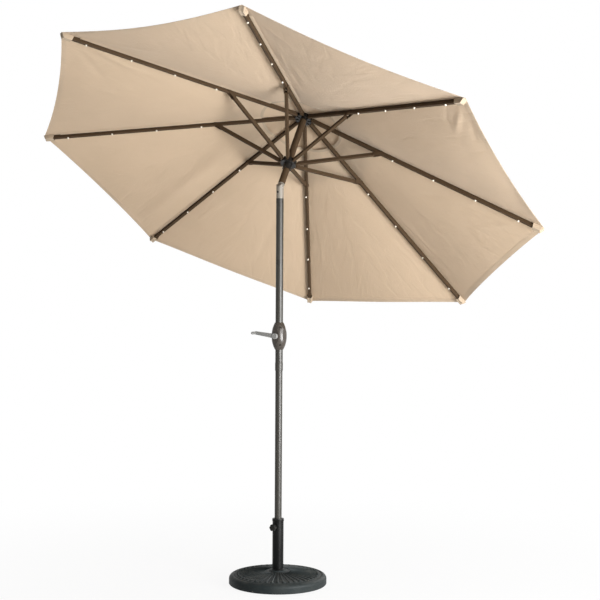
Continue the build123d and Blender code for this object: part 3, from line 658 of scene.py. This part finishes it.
# ------------------------------------------------------------------------------- frame of the canopy
class Skeleton:
    """Places and directions of the canopy's frame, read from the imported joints."""

    def __init__(self, joints: Iterable[dict]) -> None:
        """Read the crown's frame.

        Args:
            joints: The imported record's joints.
        """
        self.joints = {joint["name"]: joint for joint in joints}
        up = -self.direction("runner_slide")
        side = self.direction("canopy_tilt")
        down_lean = side.cross(up)
        pins = [self.place(f"rib_{k}_fold") for k in range(1, RIB_COUNT + 1)]
        centre = sum(pins, Vector()) / RIB_COUNT
        self.crown = Matrix.Translation(centre) @ Matrix((down_lean, side, up)).transposed().to_4x4()
        self.hinge_radius = (pins[0] - centre).length
        into = self.crown.inverted()
        self.angles = [math.atan2((into @ pin).y, (into @ pin).x) for pin in pins]

    def direction(self, joint: str) -> Vector:
        """The unit axis of a joint."""
        return Vector(self.joints[joint]["axis"]).normalized()

    def place(self, joint: str) -> Vector:
        """The point that a hinge turns about."""
        return Vector(self.joints[joint]["pos_m"])

    def across(self, number: int) -> Vector:
        """The direction across one rib, along its hinge pin."""
        angle = self.angles[number - 1]
        return self.crown.to_3x3() @ Vector((-math.sin(angle), math.cos(angle), 0))


@dataclass(frozen=True)
class Fold:
    """One soft crease in the cloth, along a line from one place to another.

    Attributes:
        start: Turn from the gore's middle as a share of half a gore, and distance from the mast.
        end: The other end of the crease, in the same terms.
        width: Half width of the crease.
        height: How far it stands out of the cloth, upwards.
        end_fade: Share of the fading's half wave that is left out at each end.
    """

    start: tuple[float, float]
    end: tuple[float, float]
    width: float
    height: float
    end_fade: float = 0.08

    @staticmethod
    def _spot(place: tuple[float, float]) -> Vector:
        """A place in the gore's plan, with the gore's middle along X."""
        turn = place[0] * GORE / 2
        return Vector((place[1] * math.cos(turn), place[1] * math.sin(turn)))

    def lift(self, spot: Vector) -> float:
        """Rise of the cloth that this crease makes.

        Args:
            spot: A point in the gore's plan, with the gore's middle along X.

        Returns:
            The rise in metres.
        """
        first, last = self._spot(self.start), self._spot(self.end)
        run = last - first
        share = clamped((spot - first).dot(run) / run.length_squared)
        gap = (spot - first - run * share).length
        fade = math.sin(math.pi * (self.end_fade + (1 - 2 * self.end_fade) * share)) ** 0.7
        return self.height * fade * math.exp(-((gap / self.width) ** 2))


# The creases of each gore, by the number of the rib before it.
FOLDS: dict[int, tuple[Fold, ...]] = {
    1: (
        Fold((-0.55, 0.45), (-0.25, 1.05), 0.016, 0.0016),
        Fold((0.62, 0.60), (0.80, 1.02), 0.018, -0.0016),
    ),
    2: (
        Fold((-0.12, 0.42), (-0.66, 1.12), 0.046, -0.0180),
        Fold((0.55, 0.70), (0.72, 1.08), 0.018, -0.0014),
    ),
    3: (
        Fold((0.93, 1.16), (0.72, 0.86), 0.014, -0.0026),
        Fold((0.84, 1.19), (0.45, 1.00), 0.016, 0.0018),
    ),
    4: (
        Fold((-0.90, 1.15), (-0.55, 0.95), 0.015, -0.0022),
        Fold((0.86, 0.84), (0.66, 0.50), 0.014, 0.0016),
    ),
    5: (
        Fold((-0.80, 0.92), (-0.80, 0.70), 0.012, -0.0018),
        Fold((-0.74, 0.68), (-0.58, 0.49), 0.012, 0.0018),
        Fold((-0.66, 0.74), (-0.45, 0.56), 0.010, -0.0016),
        Fold((-0.55, 0.75), (-0.34, 0.62), 0.010, 0.0014),
        Fold((-0.92, 1.15), (-0.60, 1.00), 0.014, -0.0020),
    ),
    6: (
        Fold((-0.86, 1.19), (-0.55, 1.05), 0.013, -0.0050),
        Fold((-0.90, 1.12), (-0.66, 1.03), 0.010, 0.0016),
        Fold((-0.70, 1.19), (-0.40, 1.12), 0.012, 0.0022),
        Fold((0.26, 0.91), (0.34, 0.96), 0.010, 0.0016),
        Fold((0.42, 0.88), (0.56, 0.93), 0.010, -0.0014),
    ),
    7: (
        Fold((-0.92, 1.10), (-0.62, 0.86), 0.016, 0.0030),
        Fold((-0.84, 1.14), (-0.45, 0.98), 0.018, -0.0030),
        Fold((-0.70, 0.80), (-0.30, 0.66), 0.016, 0.0022),
        Fold((0.72, 1.05), (0.80, 0.70), 0.014, -0.0018),
    ),
    8: (
        Fold((0.84, 0.52), (0.76, 1.06), 0.012, -0.0011),
        Fold((0.62, 0.60), (0.50, 1.08), 0.014, 0.0007),
        Fold((-0.88, 1.10), (-0.70, 0.74), 0.014, 0.0016),
    ),
}


@dataclass
class Canopy:
    """The sewn cloth: eight gores, the vent cap over them, their hems, seams and corner pockets.

    Attributes:
        skeleton: The frame that the cloth is stretched on.
        wardrobe: The finishes.
        folds: The creases of each gore.
        droop: Slope of an open rib.
        level: Under face of the main cloth above the ribs' middle lines.
        corner_reach: Corners along the ribs, from their hinge pins.
        hem_middle: Distance of the hem's middle from the mast, in plan.
        vent_radius: Radius of the opening in the main cloth.
        cap_start: Inner edge of the cap's gores.
        cap_corner: Corners of the vent cap, in plan.
        cap_middle: Middle of the cap's hem, in plan.
        cap_lift: Under face of the cap above that of the main cloth, over a rib.
        cap_billow: How much higher the cap's hem stands between the ribs.
        thickness: Thickness of the cloth.
        trim_thickness: Thickness of a turned hem, a binding or a seam.
        trim_gap: Room between the main cloth and a trim that lies on it.
        edge_roll: How far a hem stands out past the edge that it turns over.
        hem_width: Width of the turned hem.
        cap_hem_width: Width of the cap's hem.
        vent_hem_width: Width of the binding round the opening.
        seam_half: Half width of the felled seam over a rib.
        belly: How far a gore hangs inside its flat surface, worked out to the hem's distance.
        hem_sag: The same at the middle of each gore's hem, starting after rib 1, as cut and tension differ.
        hem_sag_start: Share of the way out where the hem's own sag sets in.
        fold_margin: Width beside a rib over which the creases fade out.
        fold_keep: Width that a gore keeps across its rib when the ribs are let down; not used.
        main_rows: Steps of the main cloth's mesh from the opening to the hem.
        main_columns: Steps of its mesh from a rib to the middle of a gore.
        cap_rows: Steps of the cap's mesh from its middle to its hem.
        cap_columns: Steps of the cap's mesh from a rib to the middle of a gore.
        strip_rows: Steps of a seam's or an allowance's mesh along its rib.
        column_bias: How much closer the steps beside a rib are. 1 is evenly spaced.
    """

    skeleton: Skeleton
    wardrobe: Wardrobe
    folds: dict[int, tuple[Fold, ...]]
    droop: float = math.radians(17.2)
    level: float = 0.0124
    corner_reach: float = 1.320
    hem_middle: float = 1.169
    vent_radius: float = 0.200
    cap_start: float = 0.060
    cap_corner: float = 0.450
    cap_middle: float = 0.392
    cap_lift: float = 0.0024
    cap_billow: float = 0.011
    thickness: float = 0.0009
    trim_thickness: float = 0.0007
    trim_gap: float = 0.0002
    edge_roll: float = 0.0004
    hem_width: float = 0.022
    cap_hem_width: float = 0.015
    vent_hem_width: float = 0.014
    seam_half: float = 0.007
    belly: float = 0.031
    hem_sag: tuple[float, ...] = (0.026, 0.012, 0.008, 0.024, 0.014, 0.004, 0.030, 0.027)
    hem_sag_start: float = 0.62
    fold_margin: float = 0.03
    fold_keep: float = 0.972
    main_rows: int = 120
    main_columns: int = 38
    cap_rows: int = 30
    cap_columns: int = 14
    strip_rows: int = 60
    column_bias: float = 1.35

    @property
    def corner_radius(self) -> float:
        """Distance of the canopy's corners from the mast, in plan."""
        return (
            self.skeleton.hinge_radius
            + self.corner_reach * math.cos(self.droop)
            + self.level * math.sin(self.droop)
        )

    def edge(self, turn: float, corner: float, middle: float) -> float:
        """Distance of a hollow hem from the mast.

        Args:
            turn: Angle from the middle of the gore.
            corner: Distance of the hem's ends.
            middle: Distance of the hem's middle.

        Returns:
            The distance, in plan.
        """
        half_chord = corner * math.sin(GORE / 2)
        hollow = corner * math.cos(GORE / 2) - middle
        radius = (half_chord**2 + hollow**2) / (2 * hollow)
        centre = middle + radius
        return centre * math.cos(turn) - math.sqrt(radius**2 - (centre * math.sin(turn)) ** 2)

    def main_edge(self, turn: float) -> float:
        """Distance of the main cloth's hem from the mast."""
        return self.edge(turn, self.corner_radius, self.hem_middle)

    def cap_edge(self, turn: float) -> float:
        """Distance of the vent cap's hem from the mast."""
        return self.edge(turn, self.cap_corner, self.cap_middle)

    def gore_of(self, x: float, y: float) -> tuple[int, float, float]:
        """Which gore a point of the plan lies in.

        Args:
            x: Plan position along the crown's +X.
            y: Plan position along the crown's +Y.

        Returns:
            The number of the rib before it, the angle from the gore's middle, and how far out it is.
        """
        turn = (math.atan2(y, x) - self.skeleton.angles[0]) % math.tau
        number = int(turn // GORE)
        return number + 1, turn - (number + 0.5) * GORE, math.hypot(x, y)

    def flat_height(self, turn: float, radius: float, level: float) -> float:
        """Height of the flat gore above the rib hinges."""
        apex = level / math.cos(self.droop) + self.skeleton.hinge_radius * math.tan(self.droop)
        return apex - radius * math.cos(turn) / math.cos(GORE / 2) * math.tan(self.droop)

    def main_height(self, x: float, y: float) -> float:
        """Height of the main cloth's under face, with its sag and its creases.

        Args:
            x: Plan position along the crown's +X.
            y: Plan position along the crown's +Y.

        Returns:
            The height above the rib hinges.
        """
        rib, turn, radius = self.gore_of(x, y)
        outward = radius / self.hem_middle
        hemmed = clamped((outward - self.hem_sag_start) / (1 - self.hem_sag_start)) ** 2
        slack = self.belly + (self.hem_sag[rib - 1] - self.belly) * hemmed
        hang = slack * math.cos(math.pi * turn / GORE) * outward
        spot = Vector((radius * math.cos(turn), radius * math.sin(turn)))
        off_rib = clamped((GORE / 2 - abs(turn)) * radius / self.fold_margin)
        lift = sum(fold.lift(spot) for fold in self.folds.get(rib, ())) * off_rib
        return self.flat_height(turn, radius, self.level) - hang + lift

    def cap_height(self, x: float, y: float) -> float:
        """Height of the vent cap's under face, which billows between the ribs.

        Args:
            x: Plan position along the crown's +X.
            y: Plan position along the crown's +Y.

        Returns:
            The height above the rib hinges.
        """
        _, turn, radius = self.gore_of(x, y)
        share = math.cos(math.pi * turn / GORE) ** 1.2 if abs(turn) < GORE / 2 else 0.0
        rise = self.cap_billow * share * min(1.0, radius / self.cap_middle) ** 1.6
        return self.flat_height(turn, radius, self.level + self.cap_lift) + rise

    def _gore_patch(
        self,
        number: int,
        inner: Callable[[float], float],
        outer: Callable[[float], float],
        height: Callable[[float, float], float],
        rows: int,
        columns: int,
        thickness: float,
        shift: float = 0.0,
    ) -> bmesh.types.BMesh:
        """Cloth over one rib, out to the middles of the gores on both sides.

        Args:
            number: The rib.
            inner: Distance of the inner edge from the mast, for an angle from the gore's middle.
            outer: The same for the outer edge.
            height: Height of the under face at a point of the plan.
            rows: Steps from the inner edge to the outer.
            columns: Steps from the rib to the middle of a gore.
            thickness: Thickness of the cloth.
            shift: Moves the patch up from the surface.

        Returns:
            The mesh, in the crown's frame.
        """
        base = self.skeleton.angles[number - 1]

        def lower(turn: float, share: float) -> tuple[Vector, tuple[float, float]]:
            """Lay the under face.

            Args:
                turn: Angle from the rib.
                share: Share of the way out.

            Returns:
                The point and its UV point.
            """
            from_middle = GORE / 2 - abs(turn)
            radius = inner(from_middle) + (outer(from_middle) - inner(from_middle)) * share
            x, y = radius * math.cos(base + turn), radius * math.sin(base + turn)
            inside = base + turn - (BORDER if turn > 0 else -BORDER)
            rise = height(radius * math.cos(inside), radius * math.sin(inside)) + shift
            return Vector((x, y, rise)), (radius * math.sin(turn), radius)

        half = spaced(0.0, GORE / 2, columns, self.column_bias)
        return patch(mirrored(half), spaced(0.0, 1.0, rows), lower, thickness)

    def _strip(
        self,
        number: int,
        columns: Sequence[float],
        rows: int,
        span: tuple[float, float],
        section: Callable[[float, float], tuple[float, float]],
        thickness: float,
    ) -> bmesh.types.BMesh:
        """A strip of cloth that runs out along one rib.

        Args:
            number: The rib.
            columns: Places of the strip's columns.
            rows: Steps from its inner end to its outer end.
            span: Distance of both ends from the mast.
            section: Gives the place across the rib and the rise above the main cloth's under face, for a
                column and a distance from the mast.
            thickness: Thickness of the cloth.

        Returns:
            The mesh, in the crown's frame.
        """
        turn = Matrix.Rotation(self.skeleton.angles[number - 1], 3, "Z")

        def lower(column: float, along: float) -> tuple[Vector, tuple[float, float]]:
            """Lay the under face.

            Args:
                column: The column's place.
                along: Distance from the mast.

            Returns:
                The point and its UV point.
            """
            across, rise = section(column, along)
            flat = turn @ Vector((along, across, 0))
            return Vector((flat.x, flat.y, self.main_height(flat.x, flat.y) + rise)), (across, along)

        return patch(columns, spaced(*span, rows), lower, thickness)

    def _finish(
        self, bm: bmesh.types.BMesh, name: str, number: int, cloth: ClothFinish, squash: bool = True
    ) -> bpy.types.Object:
        """Place a piece of cloth, dress it and let it ride on its rib.

        Args:
            bm: Its mesh, in the crown's frame.
            name: What the piece is called, before the rib's number.
            number: The rib.
            cloth: Its finish.
            squash: Whether the piece gets a mesh of its own.

        Returns:
            The piece.
        """
        piece = to_piece(bm, f"{name}_{number}", self.skeleton.crown)
        self.wardrobe.dress(piece, cloth)
        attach(piece, f"rib_{number}")
        if squash:
            self.skeleton.across(number)
            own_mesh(piece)
        return piece

    def _gore_area(self, inner: float, outer: Callable[[float], float]) -> float:
        """Flat area of the cloth over one rib.

        Args:
            inner: Radius of its round inner edge.
            outer: Distance of its hem from the mast, for an angle from the gore's middle.

        Returns:
            The area in square metres.
        """
        steps = 48
        slope = math.cos(math.atan(math.tan(self.droop) / math.cos(GORE / 2)))
        total = 0.0
        for step in range(steps):
            turn = (step + 0.5) / steps * GORE - GORE / 2
            total += (outer(turn) ** 2 - inner**2) / 2 * GORE / steps
        return total / slope

    def main_cloth(self, number: int) -> bpy.types.Object:
        """The main cloth over one rib, which stands for the canopy's solid there.

        Args:
            number: The rib.

        Returns:
            The piece.
        """
        bm = self._gore_patch(
            number,
            lambda turn: self.vent_radius,
            self.main_edge,
            self.main_height,
            rows=self.main_rows,
            columns=self.main_columns,
            thickness=self.thickness,
        )
        piece = self._finish(bm, "canopy_cloth", number, CLOTH)
        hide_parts(f"canopy_{number}")
        return piece

    def vent_cap(self, number: int) -> bpy.types.Object:
        """The part of the vent cap over one rib.

        Args:
            number: The rib.

        Returns:
            The piece.
        """
        bm = self._gore_patch(
            number,
            lambda turn: self.cap_start,
            self.cap_edge,
            self.cap_height,
            rows=self.cap_rows,
            columns=self.cap_columns,
            thickness=self.thickness,
        )
        return self._finish(bm, "vent_cap", number, CLOTH)

    def hem(self, number: int) -> bpy.types.Object:
        """The turned hem under the edge of the main cloth.

        Args:
            number: The rib.

        Returns:
            The piece.
        """
        bm = self._gore_patch(
            number,
            lambda turn: self.main_edge(turn) - self.hem_width,
            lambda turn: self.main_edge(turn) + self.edge_roll,
            self.main_height,
            rows=3,
            columns=self.main_columns,
            thickness=self.trim_thickness,
            shift=-self.trim_thickness - self.trim_gap,
        )
        return self._finish(bm, "hem", number, CLOTH)

    def cap_hem(self, number: int) -> bpy.types.Object:
        """The turned hem on the edge of the vent cap.

        Args:
            number: The rib.

        Returns:
            The piece.
        """
        bm = self._gore_patch(
            number,
            lambda turn: self.cap_edge(turn) - self.cap_hem_width,
            lambda turn: self.cap_edge(turn) + self.edge_roll,
            self.cap_height,
            rows=2,
            columns=self.cap_columns,
            thickness=self.trim_thickness,
            shift=self.thickness + self.trim_gap,
        )
        return self._finish(bm, "cap_hem", number, SHADED_TAPE)

    def vent_hem(self, number: int) -> bpy.types.Object:
        """The binding under the edge of the opening in the main cloth.

        Args:
            number: The rib.

        Returns:
            The piece.
        """
        bm = self._gore_patch(
            number,
            lambda turn: self.vent_radius - self.edge_roll,
            lambda turn: self.vent_radius + self.vent_hem_width,
            self.main_height,
            rows=2,
            columns=self.cap_columns,
            thickness=self.trim_thickness,
            shift=-self.trim_thickness - self.trim_gap,
        )
        return self._finish(bm, "vent_hem", number, SHADED_TAPE)

    def seam(self, number: int) -> bpy.types.Object:
        """The felled seam along the top of one rib, where two gores are sewn together.

        Args:
            number: The rib.

        Returns:
            The piece.
        """
        span = (self.cap_corner - 0.05, self.corner_radius - 0.006)
        puff, gap = 0.0005, 0.0001

        def section(side: float, along: float) -> tuple[float, float]:
            """Round the seam up towards its middle."""
            return side * self.seam_half, self.thickness + gap + puff * (1 - side * side)

        sides = [-1.0, -0.6, -0.2, 0.2, 0.6, 1.0]
        bm = self._strip(number, sides, self.strip_rows, span, section, self.trim_thickness)
        return self._finish(bm, "seam", number, SHADED_TAPE, squash=False)

    def pocket(self, number: int) -> bpy.types.Object:
        """The corner pocket, a snug sleeve that holds the end of one rib.

        Args:
            number: The rib.

        Returns:
            The piece.
        """
        rows = 24
        inner, outer = self.corner_radius - 0.055, self.corner_radius - 0.001
        rib_end, rib_half = self.corner_radius - 0.0165, 0.0099
        depth, gap = 0.0240, 0.0022
        end_half, flare = 0.0115, 0.0045

        def section(side: float, along: float) -> tuple[float, float]:
            """Drop round the rib's tube, and come up to the cloth past its end.

            Args:
                side: Place across the pocket, from -1 to 1.
                along: Distance from the mast.

            Returns:
                The place across the rib and the rise above the main cloth's under face.
            """
            half_width = end_half + flare * (outer - along) / (outer - inner)
            across = side * half_width
            beyond = max(0.0, abs(across) - rib_half) / (half_width - rib_half)
            past = max(0.0, along - rib_end) / (outer - rib_end)
            return across, -gap - depth * (1 - beyond**2) * (1 - past**1.2)

        sides = mirrored(spaced(0.0, 1.0, 20))
        bm = self._strip(number, sides, rows, (inner, outer), section, self.thickness)
        # The pocket takes the darker binding cloth, whose darkening is painted shade that dims its lit
        # face.
        return self._finish(bm, "pocket", number, SHADED_TAPE, squash=False)

    def allowance(self, number: int) -> bpy.types.Object:
        """The seam allowance inside the cloth, folded to one side of the rib.

        Args:
            number: The rib.

        Returns:
            The piece.
        """
        span = (self.vent_radius + 0.01, self.corner_radius - 0.085)
        folded = 0.0008
        drop = {0.0080: 0.0020, 0.0100: 0.0052, 0.0120: 0.0054, 0.0180: 0.0034, 0.0240: 0.0016}

        def section(side: float, along: float) -> tuple[float, float]:
            """Hang by the drop at this distance from the seam."""
            return side, -drop[side]

        bm = self._strip(number, list(drop), self.strip_rows, span, section, folded)
        return self._finish(bm, "allowance", number, CLOTH, squash=False)

    def centre_disc(self) -> bpy.types.Object:
        """The round patch that is clamped on the crown and closes the middle of the cap.

        Returns:
            The piece.
        """
        profile = [(0.0165, 0.0086), (0.036, 0.0086), (0.046, 0.0070), (0.070, -0.0010)]
        bm = bmesh.new()
        verts = [bm.verts.new((radius, 0, height)) for radius, height in profile]
        edges = [bm.edges.new(pair) for pair in zip(verts, verts[1:])]
        bmesh.ops.spin(
            bm, geom=verts + edges, axis=(0, 0, 1), cent=(0, 0, 0), steps=48, angle=math.tau, use_merge=True
        )
        bmesh.ops.remove_doubles(bm, verts=bm.verts[:], dist=1e-6)
        bmesh.ops.recalc_face_normals(bm, faces=bm.faces[:])
        bmesh.ops.solidify(bm, geom=bm.faces[:], thickness=self.thickness)
        bmesh.ops.recalc_face_normals(bm, faces=bm.faces[:])
        piece = to_piece(bm, "centre_patch", self.skeleton.crown)
        self.wardrobe.dress(piece, SHADED_TAPE)
        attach(piece, "mast")
        return piece

    def build(self) -> list[bpy.types.Object]:
        """Sew the whole canopy.

        Returns:
            Its pieces.
        """
        made = [self.centre_disc()]
        main_area = self._gore_area(self.vent_radius, self.main_edge)
        cap_area = self._gore_area(self.cap_start, self.cap_edge)
        for number in range(1, RIB_COUNT + 1):
            main, cap = self.main_cloth(number), self.vent_cap(number)
            makers = (self.hem, self.vent_hem, self.seam, self.pocket, self.allowance)
            trim = [maker(number) for maker in makers]
            edge = self.cap_hem(number)
            made += [main, cap, edge, *trim]
        return made


# ------------------------------------------------------------------------------- studio
@dataclass(frozen=True)
class Lamp:
    """One soft area lamp.

    Attributes:
        name: Its name.
        place: Where it stands.
        target: What it points at.
        size: Its width and height.
        power: Its power in watts.
        sheen_only: Whether only reflections show it.
    """

    name: str
    place: Point
    target: Point
    size: tuple[float, float]
    power: float
    sheen_only: bool = False

    def build(self) -> None:
        """Stand the lamp in the scene."""
        data = bpy.data.lights.new(self.name, "AREA")
        data.shape = "RECTANGLE"
        data.size, data.size_y = self.size
        data.energy = self.power
        lamp = bpy.data.objects.new(self.name, data)
        lamp.location = self.place
        lamp.visible_diffuse = lamp.visible_transmission = not self.sheen_only
        aim = Vector(self.target) - Vector(self.place)
        lamp.rotation_euler = aim.to_track_quat("-Z", "Y").to_euler()
        bpy.context.scene.collection.objects.link(lamp)


@dataclass
class Studio:
    """Floor, backdrop colour, lamps and camera.

    Attributes:
        eye: Where the camera stands.
        yaw: Turn of the view from +Y towards +X.
        pitch: Rise of the view.
        roll: Turn of the picture.
        lens: Focal length, in millimetres.
        sensor: Width of the camera's sensor, in millimetres.
        floor_radius: Radius of the floor.
        floor_tone: Tone of the floor where it takes the object's shadow.
        floor_white: How much of the floor is plain white to the eye under the base.
        white_start: Distance from the pole where the floor starts to turn all white.
        white_end: Distance where it is all white.
        ambient: Strength of the light from all round.
        lamps: The lamps.
    """

    eye: Point = (0.00781, -6.12865, 1.41554)
    yaw: float = 0.0153
    pitch: float = -0.00282
    roll: float = 0.0059
    lens: float = 74.70
    sensor: float = 36.0
    floor_radius: float = 60.0
    floor_tone: float = 0.85
    floor_white: float = 0.9
    white_start: float = 0.3
    white_end: float = 3.0
    ambient: float = 0.37
    lamps: tuple[Lamp, ...] = (
        Lamp("window", (2.96, -3.52, 0.9), CANOPY_MIDDLE, (2.2, 1.7), 245.0),
        Lamp("window_end", (2.6, -2.2, 0.6), CANOPY_MIDDLE, (1.8, 1.1), 80.0),
        Lamp("sun_side", (3.0, 4.0, 3.0), CANOPY_MIDDLE, (3.0, 3.0), 100.0),
        Lamp("sheen", (3.8, -3.4, 1.6), (0.0, 0.0, 1.2), (7.0, 4.2), 1050.0, sheen_only=True),
    )

    def camera(self) -> None:
        """Stand the camera where it sees the umbrella from the front."""
        forward = Vector(
            (
                math.sin(self.yaw) * math.cos(self.pitch),
                math.cos(self.yaw) * math.cos(self.pitch),
                math.sin(self.pitch),
            )
        )
        right = Vector((math.cos(self.yaw), -math.sin(self.yaw), 0.0))
        up = right.cross(forward)
        turned_right = right * math.cos(self.roll) + up * math.sin(self.roll)
        turned_up = up * math.cos(self.roll) - right * math.sin(self.roll)
        data = bpy.data.cameras.new("camera")
        data.lens, data.sensor_width = self.lens, self.sensor
        data.clip_start, data.clip_end = 0.05, 200.0
        camera = bpy.data.objects.new("camera", data)
        axes = Matrix((turned_right, turned_up, -forward)).transposed()
        camera.matrix_world = Matrix.Translation(self.eye) @ axes.to_4x4()
        bpy.context.scene.collection.objects.link(camera)
        bpy.context.scene.camera = camera

    def world(self) -> None:
        """Light from all round, with a white backdrop for the eye and for reflections."""
        world = bpy.data.worlds.new("studio")
        world.use_nodes = True
        graph = Graph(world.node_tree)
        path = graph.add("LightPath")
        seen = graph.math("MAXIMUM", path.outputs["Is Camera Ray"], path.outputs["Is Glossy Ray"])
        seen = graph.math("MAXIMUM", seen, path.outputs["Is Transmission Ray"])
        white = graph.add("Background", {"Color": (1, 1, 1, 1), "Strength": 1.0})
        soft = graph.add("Background", {"Color": (1, 1, 1, 1), "Strength": self.ambient})
        mixed = graph.add("MixShader", {0: seen, 1: soft.outputs[0], 2: white.outputs[0]})
        graph.add("OutputWorld", {"Surface": mixed.outputs[0]})
        bpy.context.scene.world = world

    def floor(self) -> None:
        """A pale floor that is white to the eye and keeps a soft shadow."""
        bm = bmesh.new()
        bmesh.ops.create_circle(bm, cap_ends=True, radius=self.floor_radius, segments=96)
        mesh = bpy.data.meshes.new("floor")
        bm.to_mesh(mesh)
        bm.free()
        floor = bpy.data.objects.new("floor", mesh)
        bpy.context.scene.collection.objects.link(floor)
        material = bpy.data.materials.new("floor")
        material.use_nodes = True
        graph = Graph(material.node_tree)
        path = graph.add("LightPath")
        spot = graph.add("NewGeometry").outputs["Position"]
        far = graph.add("VectorMath", {0: spot}, operation="LENGTH").outputs["Value"]
        whiter = graph.ramp(far, self.white_start, self.white_end)
        share = graph.math("ADD", graph.math("MULTIPLY", whiter, 1 - self.floor_white), self.floor_white)
        eye = graph.math("MAXIMUM", path.outputs["Is Camera Ray"], path.outputs["Is Glossy Ray"])
        seen = graph.math("MULTIPLY", eye, share)
        matt = graph.add("BsdfDiffuse", {"Color": rgba((self.floor_tone,) * 3)})
        white = graph.add("Emission", {"Color": (1, 1, 1, 1), "Strength": 1.0})
        mixed = graph.add("MixShader", {0: seen, 1: matt.outputs[0], 2: white.outputs[0]})
        graph.add("OutputMaterial", {"Surface": mixed.outputs[0]})
        mesh.materials.append(material)

    def build(self) -> None:
        """Set up the studio and the plain view transform."""
        self.camera()
        self.world()
        self.floor()
        for lamp in self.lamps:
            lamp.build()
        bpy.context.scene.view_settings.view_transform = "Standard"


# ------------------------------------------------------------------------------- assembly
class Umbrella:
    """The whole umbrella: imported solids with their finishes, and the cloth."""

    def __init__(self, frame: dict) -> None:
        """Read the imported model.
        """
        self.frame = frame
        self.wardrobe = Wardrobe()
        self.skeleton = Skeleton(frame["joints"])

    def dress_solids(self) -> None:
        """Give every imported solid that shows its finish."""
        for name, paint in NODE_PAINTS.items():
            self.wardrobe.dress(self.frame["nodes"][name], FINISHES[paint])
            log.info("solid %s: %s", name, paint.value)

    def build(self) -> None:
        """Dress the solids and add the cloth."""
        self.dress_solids()
        for piece in Canopy(self.skeleton, self.wardrobe, FOLDS).build():
            log.info("piece %s: %d faces", piece.name, len(piece.data.polygons))


def main() -> None:
    """Build the umbrella and its studio."""
    logging.basicConfig(level=logging.INFO, format="%(message)s")
    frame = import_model()
    Studio().build()
    Umbrella(frame).build()
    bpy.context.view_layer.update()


if __name__ == "__main__":
    main()
